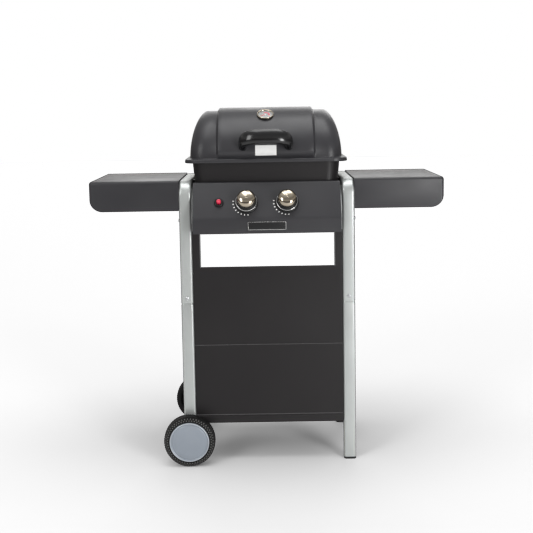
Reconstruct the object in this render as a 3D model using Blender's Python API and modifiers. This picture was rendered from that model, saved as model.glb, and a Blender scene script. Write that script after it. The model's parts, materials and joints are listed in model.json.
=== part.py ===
"""A two-burner gas barbecue on a wheeled cart, as separate pieces.

Metres, +Z up. The front faces -Y and +X is to the right of someone who stands in front of it.
The pieces are placed in the cart's own frame, whose Y is zero midway between the front and
rear legs, and the empty "cart_frame" puts that frame on the object's origin.
"""

import math

import bmesh
import bpy
from mathutils import Matrix, Vector

GAP = 0.0003  # between pieces that touch

# Side frames and legs: rounded-rectangle steel tube
LEG_WIDTH = 0.035
LEG_DEPTH = 0.028
LEG_CORNER = 0.006
LEG_WALL = 0.0012
FRAME_HALF = 0.2565  # centre line to the outer face of a leg
FRAME_DEPTH = 0.340  # front face to rear face of the legs
FRAME_TOP = 0.843
FRAME_BEND = 0.030
LEG_SEAM = 0.4815
NECK_LENGTH = 0.030
FOOT_HEIGHT = 0.005
LEFT_LEG_BOTTOM = 0.052
FRAME_Y = 0.0103  # centres the whole object on its origin

# Wheels
WHEEL_RADIUS = 0.075
WHEEL_WIDTH = 0.036
WHEEL_CENTRE_Y = 0.196
AXLE_RADIUS = 0.006
AXLE_HALF = 0.2095
BORE_RADIUS = 0.0063

# Sheet steel
SHEET = 0.0012
INNER_HALF = FRAME_HALF - LEG_WIDTH - GAP
PANEL_FRONT = -0.164
PANEL_FLANGE = 0.025
PANEL_TOP = 0.587
PANEL_SEAM = 0.355
EAR_TOP = 0.6935
EAR_WIDTH = 0.0180
BOTTOM_SHELF_TOP = 0.137
BOTTOM_SHELF_LOW = 0.116

# Side shelves
SHELF_OUTER = 0.5185
SHELF_TOP = 0.845
SHELF_LOW = 0.757
SHELF_FRONT = -0.1655
SHELF_REAR = 0.1445
SHELF_CORNER = 0.038
FOLD_RADIUS = 0.004

# Console: a sloping face between a top and a vertical lower strip
CONSOLE_HALF = 0.215
CONSOLE_TOP = 0.838
CONSOLE_LOW = 0.694
CONSOLE_BACK = -0.147
CONSOLE_FRONT = -0.217
FACE_LEAN = math.radians(30)
FACE_POINT = (-0.1912, 0.7805)  # Y and Z of the knobs' centres on the face
KNOB_X = 0.0588
IGNITER_X = -0.1386
BADGE_SIZE = (0.1115, 0.0250, 0.0020)
BADGE_Z = 0.7160

# Gas valves, in the face's own frame: Z points out of the face
VALVE_RADIUS = 0.0115
VALVE_DEPTH = 0.0275  # face to the middle of the valve
JET_DEPTH = 0.0430  # face to the jet, in the valve's solid end
MANIFOLD_Z = 0.7345
MANIFOLD_RADIUS = 0.009

# Cooking box
BOX_Y = 0.010
RIM_Z = 0.905
FIREBOX_WALL = 0.0012
BURNER_RADIUS = 0.0125
BURNER_X = 0.100
BURNER_Z = FACE_POINT[1] - JET_DEPTH * math.sin(FACE_LEAN)
BURNER_FRONT = -0.1425
GRATE_Z = 0.8634
GRATE_THICKNESS = 0.005

# Lid
LID_HALF_X = 0.225
LID_HALF_Y = 0.160
LID_TOP_HALF_X = 0.1765
LID_HEIGHT = 0.140
LID_RAISE = 0.009
RAISE_INNER = 0.1385
RAISE_OUTER = 0.1455
RAISE_FADE = 0.020
LID_WALL = 0.0015
LID_FLANGE = 0.014
LIP_LOW = 0.8950
SHOULDER_POWER = 1.85
THERMOMETER_TURN = math.radians(56.5)  # place round the lid's curve, from its front rim
HANDLE_TURN = math.radians(15.5)

# Hinge
HINGE_Y = 0.196
HINGE_Z = 0.905
KNUCKLE_RADIUS = 0.0065
PIN_RADIUS = 0.003
HINGE_X = 0.1550
KNUCKLE_LENGTH = 0.0135

FINISHES = {
    "charcoal": ((0.060, 0.060, 0.064), 0.45, 0.35),
    "panel_black": ((0.028, 0.026, 0.027), 0.50, 0.25),
    "silver": ((0.52, 0.53, 0.52), 0.38, 0.60),
    "chrome": ((0.80, 0.78, 0.74), 0.08, 1.00),
    "zinc": ((0.55, 0.56, 0.58), 0.35, 1.00),
    "brass": ((0.72, 0.52, 0.22), 0.30, 1.00),
    "black_plastic": ((0.020, 0.020, 0.021), 0.45, 0.0),
    "gloss_plastic": ((0.010, 0.010, 0.011), 0.12, 0.0),
    "hubcap_grey": ((0.30, 0.34, 0.39), 0.45, 0.0),
    "red_plastic": ((0.60, 0.02, 0.06), 0.30, 0.0),
    "enamel": ((0.018, 0.018, 0.019), 0.30, 0.0),
    "stainless": ((0.48, 0.47, 0.45), 0.30, 1.00),
    "ceramic": ((0.85, 0.83, 0.78), 0.35, 0.0),
    "glass": ((0.90, 0.93, 0.95), 0.05, 0.0),
}


# Scene ------------------------------------------------------------------------------------


def clear_scene():
    for obj in list(bpy.data.objects):
        bpy.data.objects.remove(obj, do_unlink=True)


def new_collection(name):
    made = bpy.data.collections.new(name)
    bpy.context.scene.collection.children.link(made)
    return made


clear_scene()
PIECES = new_collection("gas_barbecue")
CUTTERS = new_collection("cutters")
CART = bpy.data.objects.new("cart_frame", None)
CART.location = (0, FRAME_Y, 0)
PIECES.objects.link(CART)


def finish_piece(obj, finish):
    """Gives a piece a material of its own in one of the finishes."""
    colour, roughness, metallic = FINISHES[finish]
    made = bpy.data.materials.new(obj.name)
    made.use_nodes = True
    shader = made.node_tree.nodes["Principled BSDF"]
    shader.inputs["Base Color"].default_value = (*colour, 1)
    shader.inputs["Roughness"].default_value = roughness
    shader.inputs["Metallic"].default_value = metallic
    made.diffuse_color = (*colour, 1)
    obj.data.materials.append(made)


def place(name, mesh, finish=None, location=(0, 0, 0), rotation=(0, 0, 0), parent=None):
    """Puts a mesh into the scene: a piece if it has a finish, and otherwise a cutter."""
    obj = bpy.data.objects.new(name, mesh)
    obj.parent = parent or CART
    obj.location = location
    obj.rotation_euler = rotation
    if finish:
        PIECES.objects.link(obj)
        finish_piece(obj, finish)
    else:
        CUTTERS.objects.link(obj)
        obj.hide_render = True
        obj.display_type = "WIRE"
    return obj


def pivot(name, location, rotation=(0, 0, 0), parent=None):
    """An empty on a joint's axis or on a sloping face."""
    empty = bpy.data.objects.new(name, None)
    empty.parent = parent or CART
    empty.location = location
    empty.rotation_euler = rotation
    PIECES.objects.link(empty)
    return empty


def finished_mesh(name, bm, smooth=False):
    mesh = bpy.data.meshes.new(name)
    bm.to_mesh(mesh)
    bm.free()
    if smooth:
        mesh.shade_smooth()
        mesh.set_sharp_from_angle(angle=math.radians(35))
    return mesh


# Modifiers --------------------------------------------------------------------------------


def join(obj, other, operation="UNION"):
    boolean = obj.modifiers.new(other.name, "BOOLEAN")
    boolean.operation = operation
    boolean.object = other
    return obj


def cut(obj, other):
    return join(obj, other, "DIFFERENCE")


def thicken(obj, thickness):
    solidify = obj.modifiers.new("sheet", "SOLIDIFY")
    solidify.thickness = thickness
    solidify.offset = -1
    solidify.use_even_offset = True
    return obj


def round_edges(obj, radius, segments=2):
    bevel = obj.modifiers.new("rounding", "BEVEL")
    bevel.width = radius
    bevel.segments = segments
    bevel.limit_method = "ANGLE"
    bevel.angle_limit = math.radians(40)
    return obj


# Shapes -----------------------------------------------------------------------------------


def rounded_rectangle(half_x, half_y, radius, steps=3):
    """Outline points, anticlockwise."""
    points = []
    for side_x, side_y, start in ((1, 1, 0), (-1, 1, 90), (-1, -1, 180), (1, -1, 270)):
        for step in range(steps + 1):
            angle = math.radians(start + 90 * step / steps)
            across = side_x * (half_x - radius) + radius * math.cos(angle)
            along = side_y * (half_y - radius) + radius * math.sin(angle)
            points.append((across, along))
    return points


def arc(centre, radius, start, end, steps):
    """Points of an arc, with its angles in degrees."""
    points = []
    for step in range(steps + 1):
        angle = math.radians(start + (end - start) * step / steps)
        points.append((centre[0] + radius * math.cos(angle), centre[1] + radius * math.sin(angle)))
    return points


def loft(name, sections, wrap=True, low_cap=False, high_cap=False, smooth=False):
    """A skin through sections of equally many points. Stacked upwards, they run anticlockwise."""
    bm = bmesh.new()
    rings = [[bm.verts.new(point) for point in section] for section in sections]
    count = len(rings[0])
    for lower, upper in zip(rings, rings[1:]):
        for i in range(count if wrap else count - 1):
            j = (i + 1) % count
            bm.faces.new((lower[i], lower[j], upper[j], upper[i]))
    if low_cap:
        bm.faces.new(rings[0][::-1])
    if high_cap:
        bm.faces.new(rings[-1])
    bmesh.ops.remove_doubles(bm, verts=bm.verts, dist=1e-6)
    return finished_mesh(name, bm, smooth)


def block_mesh(name, low, high):
    bm = bmesh.new()
    size = Vector(high) - Vector(low)
    bmesh.ops.create_cube(bm, size=1, matrix=Matrix.Diagonal((*size, 1)))
    return finished_mesh(name, bm)


def block(name, low, high, finish=None, parent=None):
    centre = (Vector(low) + Vector(high)) / 2
    return place(name, block_mesh(name, low, high), finish, centre, parent=parent)


def folded_sheet(name, low, high, open_sides, finish, fold=FOLD_RADIUS):
    """A sheet folded round a box, without the sides named, such as ("-Z", "+Y")."""
    bm = bmesh.new()
    size = Vector(high) - Vector(low)
    bmesh.ops.create_cube(bm, size=1, matrix=Matrix.Diagonal((*size, 1)))
    missing = []
    for face in bm.faces:
        axis = max(range(3), key=lambda k: abs(face.normal[k]))
        side = ("+" if face.normal[axis] > 0 else "-") + "XYZ"[axis]
        if side in open_sides:
            missing.append(face)
    bmesh.ops.delete(bm, geom=missing, context="FACES")
    centre = (Vector(low) + Vector(high)) / 2
    obj = place(name, finished_mesh(name, bm), finish, centre)
    if fold:
        round_edges(obj, fold)
    return thicken(obj, SHEET)


def rod_mesh(name, radius, length, segments=24):
    """A cylinder on Z from 0 to its length."""
    bm = bmesh.new()
    bmesh.ops.create_cone(
        bm,
        cap_ends=True,
        segments=segments,
        radius1=radius,
        radius2=radius,
        depth=length,
        matrix=Matrix.Translation((0, 0, length / 2)),
    )
    return finished_mesh(name, bm, smooth=True)


ALONG_X = (0, math.radians(90), 0)
ALONG_Y = (math.radians(-90), 0, 0)
TOWARDS_FRONT = (math.radians(90), 0, 0)


def rod(name, radius, length, start, direction, finish=None, segments=24, parent=None):
    return place(name, rod_mesh(name, radius, length, segments), finish, start, direction, parent)


def turned(name, profile, finish, parent, closed=True, steps=20, location=(0, 0, 0)):
    """A turned piece from (radius, height) points that run down its outer side."""
    mesh = bpy.data.meshes.new(name)
    edges = [(i, i + 1) for i in range(len(profile) - 1)]
    if closed:
        edges.append((len(profile) - 1, 0))
    mesh.from_pydata([(radius, 0, height) for radius, height in profile], edges, [])
    obj = place(name, mesh, finish, location, parent=parent)
    screw = obj.modifiers.new("turn", "SCREW")
    screw.steps = steps
    screw.render_steps = steps
    screw.use_merge_vertices = True
    screw.merge_threshold = 0.00001
    screw.use_smooth_shade = True
    return obj


def curve_mesh(curve, name):
    """The mesh of a curve, with its caps welded."""
    guide = bpy.data.objects.new(name + "_curve", curve)
    bpy.context.scene.collection.objects.link(guide)
    evaluated = guide.evaluated_get(bpy.context.evaluated_depsgraph_get())
    mesh = bpy.data.meshes.new_from_object(evaluated)
    mesh.name = name
    bpy.data.objects.remove(guide, do_unlink=True)
    bm = bmesh.new()
    bm.from_mesh(mesh)
    bmesh.ops.remove_doubles(bm, verts=bm.verts, dist=1e-6)
    bm.to_mesh(mesh)
    bm.free()
    return mesh


def plate_mesh(name, outlines, thickness):
    """A flat plate in XY from an outline and its holes, with half its thickness on each side."""
    curve = bpy.data.curves.new(name, "CURVE")
    curve.dimensions = "2D"
    curve.fill_mode = "BOTH"
    curve.extrude = thickness / 2
    for outline in outlines:
        spline = curve.splines.new("POLY")
        spline.points.add(len(outline) - 1)
        for point, (x, y) in zip(spline.points, outline):
            point.co = (x, y, 0, 1)
        spline.use_cyclic_u = True
    return curve_mesh(curve, name)


def pipe_mesh(name, points, radius, caps=True, resolution=3):
    curve = bpy.data.curves.new(name, "CURVE")
    curve.dimensions = "3D"
    curve.bevel_depth = radius
    curve.bevel_resolution = resolution
    curve.use_fill_caps = caps
    spline = curve.splines.new("POLY")
    spline.points.add(len(points) - 1)
    for point, place_at in zip(spline.points, points):
        point.co = (*place_at, 1)
    mesh = curve_mesh(curve, name)
    mesh.shade_smooth()
    return mesh


# Cart -------------------------------------------------------------------------------------

TUBE_X = FRAME_HALF - LEG_WIDTH / 2
TUBE_Y = FRAME_DEPTH / 2 - LEG_DEPTH / 2
RAIL_Z = FRAME_TOP - LEG_DEPTH / 2


def pull(bm, edges, offset):
    """Extrudes a ring of edges in a straight line and returns the new ring."""
    made = bmesh.ops.extrude_edge_only(bm, edges=edges)["geom"]
    corners = {item for item in made if isinstance(item, bmesh.types.BMVert)}
    bmesh.ops.translate(bm, verts=list(corners), vec=offset)
    return [edge for edge in bm.edges if edge.verts[0] in corners and edge.verts[1] in corners]


def bend(bm, edges, centre):
    """Spins a ring of edges backwards through a right angle and returns the new ring."""
    made = bmesh.ops.spin(
        bm,
        geom=edges + list({corner for edge in edges for corner in edge.verts}),
        cent=centre,
        axis=(1, 0, 0),
        angle=math.radians(-90),
        steps=5,
        use_duplicate=False,
    )["geom_last"]
    return [item for item in made if isinstance(item, bmesh.types.BMEdge)]


def upper_frame(name, side):
    """A tube bent to an upside-down U: front leg, top rail, rear leg."""
    bm = bmesh.new()
    start = LEG_SEAM + GAP
    outline = rounded_rectangle(LEG_WIDTH / 2, LEG_DEPTH / 2, LEG_CORNER)
    ring = [bm.verts.new((x, y - TUBE_Y, start)) for x, y in outline]
    edges = [bm.edges.new((a, b)) for a, b in zip(ring, ring[1:] + ring[:1])]
    rise = RAIL_Z - FRAME_BEND - start
    edges = pull(bm, edges, (0, 0, rise))
    edges = bend(bm, edges, (0, FRAME_BEND - TUBE_Y, RAIL_Z - FRAME_BEND))
    edges = pull(bm, edges, (0, 2 * (TUBE_Y - FRAME_BEND), 0))
    edges = bend(bm, edges, (0, TUBE_Y - FRAME_BEND, RAIL_Z - FRAME_BEND))
    pull(bm, edges, (0, 0, -rise))
    bmesh.ops.remove_doubles(bm, verts=bm.verts, dist=1e-6)
    bmesh.ops.recalc_face_normals(bm, faces=bm.faces)
    obj = place(name, finished_mesh(name, bm, smooth=True), "silver", (side * TUBE_X, 0, 0))
    return thicken(obj, LEG_WALL)


def leg_section(shrink, z):
    outline = rounded_rectangle(
        LEG_WIDTH / 2 - shrink,
        LEG_DEPTH / 2 - shrink,
        LEG_CORNER - shrink,
    )
    return [(x, y, z) for x, y in outline]


def lower_leg(name, side, end, bottom):
    """A straight leg whose neck pushes into the side frame's tube."""
    neck = LEG_WALL + GAP
    sections = (
        leg_section(0, bottom),
        leg_section(0, LEG_SEAM - 0.003),
        leg_section(neck, LEG_SEAM),
        leg_section(neck, LEG_SEAM + NECK_LENGTH),
    )
    mesh = loft(name, sections, smooth=True)
    return thicken(place(name, mesh, "silver", (side * TUBE_X, end * TUBE_Y, 0)), LEG_WALL)


def foot(name, end):
    """A plastic foot: a pad under the tube and a plug inside it."""
    inside = LEG_WALL + GAP
    sections = (
        leg_section(0.0008, 0),
        leg_section(0, 0.0012),
        leg_section(0, FOOT_HEIGHT),
        leg_section(inside, FOOT_HEIGHT + 0.0001),
        leg_section(inside + 0.0004, FOOT_HEIGHT + 0.018),
    )
    mesh = loft(name, sections, low_cap=True, high_cap=True)
    place(name, mesh, "black_plastic", (TUBE_X, end * TUBE_Y, 0))


def wheel(name, end):
    """A wheel, its hubcap and lock nut, on an empty whose Z points away from the cart."""
    axis = pivot(
        name + "_axis",
        (-TUBE_X, end * WHEEL_CENTRE_Y, WHEEL_RADIUS),
        TOWARDS_FRONT if end < 0 else ALONG_Y,
    )
    half = WHEEL_WIDTH / 2
    boss = WHEEL_CENTRE_Y - FRAME_DEPTH / 2 - GAP
    tyre = (
        (WHEEL_RADIUS - 0.005, half),
        (WHEEL_RADIUS - 0.0015, half - 0.0025),
        (WHEEL_RADIUS, half - 0.007),
        (WHEEL_RADIUS, 0.007 - half),
        (WHEEL_RADIUS - 0.0015, 0.0025 - half),
        (WHEEL_RADIUS - 0.005, -half),
        (0.0600, -half),
        (0.0580, -0.004),
        (0.0200, -0.004),
        (0.0180, -boss),
        (BORE_RADIUS, -boss),
        (BORE_RADIUS, 0.008),
        (0.0180, 0.008),
        (0.0200, 0.004),
        (0.0587, 0.004),
        (0.0590, 0.0145),
        (0.0605, half),
    )
    turned(name, tyre, "black_plastic", axis, steps=32)
    cap = (
        (0, 0.0225),
        (0.0400, 0.0216),
        (0.0530, 0.0196),
        (0.0575, 0.0170),
        (0.0583, 0.0130),
        (0.0565, 0.0130),
        (0.0558, 0.0162),
        (0.0520, 0.0180),
        (0.0400, 0.0200),
        (0, 0.0208),
    )
    side = name.split("_")[0]
    turned(side + "_hubcap", cap, "hubcap_grey", axis, closed=False, steps=28)
    thread = BORE_RADIUS + 0.0005
    nut = ((0.0100, 0.0150), (0.0100, 0.0083), (thread, 0.0083), (thread, 0.0150))
    turned(side + "_axle_nut", nut, "zinc", axis, steps=12)


def cart():
    for label, side in (("left", -1), ("right", 1)):
        upper_frame(label + "_upper_frame", side)
        for end_label, end in (("front", -1), ("rear", 1)):
            bottom = LEFT_LEG_BOTTOM if side < 0 else FOOT_HEIGHT + GAP
            leg = lower_leg(f"{label}_{end_label}_lower_leg", side, end, bottom)
            if side > 0:
                foot(f"{label}_{end_label}_foot", end)
                continue
            start = (side * TUBE_X, end * TUBE_Y - 0.03, WHEEL_RADIUS)
            cut(leg, rod(f"{end_label}_axle_hole", BORE_RADIUS, 0.06, start, ALONG_Y))
    rod("wheel_axle", AXLE_RADIUS, 2 * AXLE_HALF, (-TUBE_X, -AXLE_HALF, WHEEL_RADIUS), ALONG_Y, "zinc")
    wheel("front_wheel", -1)
    wheel("rear_wheel", 1)


# Panels and shelves -----------------------------------------------------------------------


def panels():
    back = PANEL_FRONT + PANEL_FLANGE
    upper = folded_sheet(
        "front_panel_upper",
        (-INNER_HALF, PANEL_FRONT, PANEL_SEAM + GAP),
        (INNER_HALF, back, EAR_TOP),
        ("+Y", "-Z", "+Z"),
        "panel_black",
        0.002,
    )
    window_half = INNER_HALF - EAR_WIDTH
    low = (-window_half, PANEL_FRONT - 0.01, PANEL_TOP)
    cut(upper, block("window_cutter", low, (window_half, PANEL_FRONT + 0.01, EAR_TOP + 0.01)))
    folded_sheet(
        "front_panel_lower",
        (-INNER_HALF, PANEL_FRONT, BOTTOM_SHELF_TOP + GAP),
        (INNER_HALF, back, PANEL_SEAM - GAP),
        ("+Y", "-Z", "+Z"),
        "panel_black",
        0.002,
    )
    folded_sheet(
        "bottom_shelf",
        (-INNER_HALF, PANEL_FRONT - 0.001, BOTTOM_SHELF_LOW),
        (INNER_HALF, -PANEL_FRONT + 0.001, BOTTOM_SHELF_TOP),
        ("-Z",),
        "panel_black",
        0.002,
    )
    folded_sheet(
        "rear_cross_bar",
        (-INNER_HALF, 0.142, 0.645),
        (INNER_HALF, 0.168, 0.675),
        ("-Y",),
        "panel_black",
        0.002,
    )


def side_shelf(label, side):
    """A sheet folded down on three sides, whose front and rear aprons have a round outer corner."""
    inner = side * (FRAME_HALF + GAP)
    outer = side * SHELF_OUTER
    shelf = folded_sheet(
        label + "_side_shelf",
        (min(inner, outer), SHELF_FRONT, SHELF_LOW),
        (max(inner, outer), SHELF_REAR, SHELF_TOP),
        ("-Z", "-X" if side > 0 else "+X"),
        "charcoal",
    )
    reach = 0.01
    corner = arc((-SHELF_CORNER, SHELF_CORNER), SHELF_CORNER, -90, 0, 8)
    outline = corner + [(reach, SHELF_CORNER), (reach, -reach), (-SHELF_CORNER, -reach)]
    if side < 0:
        outline = [(-across, up) for across, up in reversed(outline)]
    name = label + "_apron_cutter"
    mesh = plate_mesh(name, [outline], 0.4)
    cut(shelf, place(name, mesh, None, (outer, 0, SHELF_LOW), TOWARDS_FRONT))
    near = side * (FRAME_HALF + GAP)
    far = near + side * 0.016
    open_sides = ("+X" if side > 0 else "-X", "+Z", "-Y", "+Y")
    folded_sheet(
        label + "_shelf_bracket",
        (min(near, far), SHELF_FRONT + 0.006, 0.7600),
        (max(near, far), SHELF_REAR - 0.006, 0.8000),
        open_sides,
        "panel_black",
        0,
    )


# Console ----------------------------------------------------------------------------------


def console_outline():
    """Y and Z of the console's front, from the rear of its top to the end of its lower fold."""
    lean = math.tan(FACE_LEAN)
    face_y, face_z = FACE_POINT

    def on_face(z):
        return (face_y + (z - face_z) * lean, z)

    top_bend = on_face(CONSOLE_TOP - 0.008)
    low_bend = on_face(0.7430)
    return [
        (CONSOLE_BACK, CONSOLE_TOP),
        (top_bend[0] + 0.0085, CONSOLE_TOP),
        (top_bend[0] + 0.0035, CONSOLE_TOP - 0.0022),
        top_bend,
        low_bend,
        (CONSOLE_FRONT + 0.0010, 0.7365),
        (CONSOLE_FRONT, 0.7290),
        (CONSOLE_FRONT, CONSOLE_LOW),
        (CONSOLE_FRONT + 0.020, CONSOLE_LOW),
        (CONSOLE_BACK, CONSOLE_LOW),
    ]


def console():
    bm = bmesh.new()
    outline = [bm.verts.new((-CONSOLE_HALF, y, z)) for y, z in console_outline()]
    cheek = bm.faces.new(outline)
    made = bmesh.ops.extrude_face_region(bm, geom=[cheek])["geom"]
    moved = [item for item in made if isinstance(item, bmesh.types.BMVert)]
    bmesh.ops.translate(bm, verts=moved, vec=(2 * CONSOLE_HALF, 0, 0))
    bmesh.ops.recalc_face_normals(bm, faces=bm.faces)
    missing = []
    for face in bm.faces:
        middle = face.calc_center_median()
        rear = face.normal.y > 0.9
        underneath = face.normal.z < -0.9 and middle.y > CONSOLE_FRONT + 0.015
        if rear or underneath:
            missing.append(face)
    bmesh.ops.delete(bm, geom=missing, context="FACES")
    obj = thicken(place("console", finished_mesh("console", bm), "charcoal"), SHEET)
    for label, side in (("left", -1), ("right", 1)):
        axis = face_pivot(label, side * KNOB_X)
        cut(obj, rod(label + "_knob_hole", 0.009, 0.02, (0, 0, -0.01), (0, 0, 0), parent=axis))
    igniter_axis = face_pivot("igniter", IGNITER_X)
    cut(obj, rod("igniter_hole", 0.0098, 0.02, (0, 0, -0.01), (0, 0, 0), parent=igniter_axis))
    outline = rounded_rectangle(BADGE_SIZE[0] / 2, BADGE_SIZE[1] / 2, 0.002)
    mesh = plate_mesh("badge_plate", [outline], BADGE_SIZE[2])
    badge_y = CONSOLE_FRONT - GAP - BADGE_SIZE[2] / 2
    place("badge_plate", mesh, "gloss_plastic", (0, badge_y, BADGE_Z), TOWARDS_FRONT)
    igniter(igniter_axis)


FACE_TURN = (math.pi / 2 - FACE_LEAN, 0, 0)


def face_pivot(label, x):
    return pivot(label + "_control_axis", (x, *FACE_POINT), FACE_TURN)


def control(label, side):
    """A knob with its bezel, stem, plug and valve, on the pivot that its hole uses."""
    axis = bpy.data.objects[label + "_control_axis"]
    bezel = (
        (0.0300, 0.0045),
        (0.0335, 0.0030),
        (0.0345, GAP),
        (0.0110, GAP),
        (0.0110, 0.0045),
    )
    turned(label + "_knob_bezel", bezel, "black_plastic", axis)
    body = (
        (0, 0.0395),
        (0.0240, 0.0395),
        (0.0254, 0.0380),
        (0.0254, 0.0160),
        (0.0300, 0.0130),
        (0.0305, 0.0090),
        (0.0036, 0.0090),
        (0.0036, 0.0300),
        (0, 0.0300),
    )
    turned(label + "_knob_body", body, "black_plastic", axis, closed=False)
    cap = (
        (0, 0.0432),
        (0.0120, 0.0428),
        (0.0220, 0.0418),
        (0.0262, 0.0402),
        (0.0273, 0.0375),
        (0.0273, 0.0235),
        (0.0257, 0.0235),
        (0.0257, 0.0385),
        (0.0243, 0.0399),
        (0, 0.0399),
    )
    turned(label + "_knob_cap", cap, "chrome", axis, closed=False)
    stem = ((0, 0.0297), (0.0033, 0.0297), (0.0033, -0.0300), (0, -0.0300))
    turned(label + "_valve_stem", stem, "zinc", axis, closed=False, steps=12)
    plug = ((0.0057, -0.0155), (0.0057, -0.0365), (0.0036, -0.0365), (0.0036, -0.0155))
    turned(label + "_valve_plug", plug, "brass", axis, steps=16)
    shell = (
        (0, -0.0380),
        (0.0060, -0.0380),
        (0.0060, -0.0130),
        (VALVE_RADIUS, -0.0130),
        (VALVE_RADIUS, -0.0480),
        (0, -0.0480),
    )
    valve = turned(label + "_valve_body", shell, "brass", axis, closed=False, steps=20)
    x = side * KNOB_X
    middle_y = FACE_POINT[0] + VALVE_DEPTH * math.cos(FACE_LEAN)
    middle_z = FACE_POINT[1] - VALVE_DEPTH * math.sin(FACE_LEAN)
    jet = (x, FACE_POINT[0] + JET_DEPTH * math.cos(FACE_LEAN), BURNER_Z)
    join(valve, rod(label + "_jet", 0.0035, 0.0155, jet, ALONG_Y, segments=12))
    inlet_low = MANIFOLD_Z + MANIFOLD_RADIUS + GAP
    inlet_top = middle_z - 0.0104
    inlet = (x, middle_y - 0.0005, inlet_low)
    join(valve, rod(label + "_inlet", 0.0052, inlet_top - inlet_low, inlet, (0, 0, 0), segments=12))


def igniter(axis):
    bezel = (
        (0.0105, 0.0062),
        (0.0130, 0.0048),
        (0.0138, GAP),
        (0.0094, GAP),
        (0.0094, -0.0140),
        (0.0070, -0.0140),
        (0.0070, 0.0062),
    )
    turned("igniter_bezel", bezel, "black_plastic", axis, steps=24)
    button = ((0, 0.0160), (0.0050, 0.0155), (0.0066, 0.0138), (0.0066, -0.0040), (0, -0.0040))
    turned("igniter_button", button, "red_plastic", axis, closed=False, steps=20)
    body = ((0, -0.0143), (0.0085, -0.0143), (0.0085, -0.0480), (0.0040, -0.0520), (0, -0.0520))
    turned("igniter_body", body, "black_plastic", axis, closed=False, steps=16)


def manifold():
    """The gas rail, turned down at its right end into the hose inlet."""
    y = FACE_POINT[0] + VALVE_DEPTH * math.cos(FACE_LEAN)
    elbow = 0.020
    end_x = 0.200
    points = [(-0.085, y, MANIFOLD_Z)]
    for x, z in arc((end_x - elbow, MANIFOLD_Z - elbow), elbow, 90, 0, 4):
        points.append((x, y, z))
    points.append((end_x, y, 0.6960))
    obj = place("gas_manifold", pipe_mesh("gas_manifold", points, MANIFOLD_RADIUS), "zinc")
    join(obj, rod("inlet_nut", 0.0125, 0.010, (end_x, y, 0.6990), (0, 0, 0), segments=6))


# Cooking box ------------------------------------------------------------------------------

FIREBOX_RINGS = (  # half width, half depth, corner radius, height
    (0.0550, 0.0350, 0.010, 0.7090),
    (0.2110, 0.1475, 0.030, 0.7420),
    (0.2120, 0.1480, 0.036, 0.8430),
    (0.2165, 0.1512, 0.038, 0.8985),
    (0.2172, 0.1522, 0.038, 0.9015),
    (0.2362, 0.1665, 0.048, 0.9015),
)


def ring_points(half_x, half_y, radius, z, steps=5):
    outline = rounded_rectangle(half_x, half_y, radius, steps)
    return [(x, BOX_Y + y, z) for x, y in outline]


def firebox():
    sections = [ring_points(*ring) for ring in FIREBOX_RINGS]
    box = place("firebox", loft("firebox", sections), "panel_black")
    thicken(box, FIREBOX_WALL)
    strips = {
        "grate_ledge_front": ((-0.176, -0.1384, 0.8600), (0.176, -0.1260, 0.8630)),
        "grate_ledge_rear": ((-0.176, 0.1450, 0.8600), (0.176, 0.1584, 0.8630)),
        "tamer_ledge_front": ((-0.174, -0.1372, 0.8005), (0.174, -0.1280, 0.8035)),
        "tamer_ledge_rear": ((-0.174, 0.1480, 0.8005), (0.174, 0.1572, 0.8035)),
    }
    for side, label in ((-1, "left"), (1, "right")):
        web = sorted((side * 0.0790, side * 0.0806))
        foot_x = sorted((side * 0.0700, side * 0.0804))
        lug = sorted((side * 0.2112, side * INNER_HALF))
        strips[label + "_tray_web"] = ((web[0], -0.075, 0.7002), (web[1], 0.085, 0.7148))
        strips[label + "_tray_rail"] = ((foot_x[0], -0.0748, 0.7000), (foot_x[1], 0.0848, 0.7012))
        strips[label + "_front_lug"] = ((lug[0], -0.080, 0.8180), (lug[1], -0.050, 0.8400))
        strips[label + "_rear_lug"] = ((lug[0], 0.070, 0.8180), (lug[1], 0.100, 0.8400))
    for name, (low, high) in strips.items():
        join(box, block(name, low, high))
    for side, label in ((-1, "left"), (1, "right")):
        join(box, knuckle_arm(label + "_fixed_knuckle", side))
        hole = (side * KNOB_X, -0.16, BURNER_Z)
        cut(box, rod(label + "_burner_hole", 0.0145, 0.04, hole, ALONG_Y, segments=20))
        spark = (side * (KNOB_X + 0.030), -0.16, 0.7900)
        cut(box, rod(label + "_electrode_hole", 0.0045, 0.04, spark, ALONG_Y, segments=12))
        pin_hole = (side * 0.17 - 0.03, HINGE_Y, HINGE_Z)
        cut(box, rod(label + "_fixed_bore", PIN_RADIUS + GAP, 0.06, pin_hole, ALONG_X, segments=16))


def knuckle_arm(name, side):
    """The half of a hinge that is welded to the rear of the firebox."""
    outline = arc((HINGE_Y, HINGE_Z), KNUCKLE_RADIUS, -30, 180, 9)
    outline += [
        (HINGE_Y - KNUCKLE_RADIUS, 0.8895),
        (0.1602, 0.8895),
        (0.1590, 0.8650),
        (0.1650, 0.8650),
        (0.1960, 0.8830),
    ]
    return hinge_plate(name, outline, side * (HINGE_X + KNUCKLE_LENGTH / 2), None)


def hinge_plate(name, outline, x, finish):
    """A plate whose outline gives Y and Z, standing across X."""
    mesh = plate_mesh(name, [outline], KNUCKLE_LENGTH)
    return place(name, mesh, finish, (x, 0, 0), (math.radians(90), 0, math.radians(90)))


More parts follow.
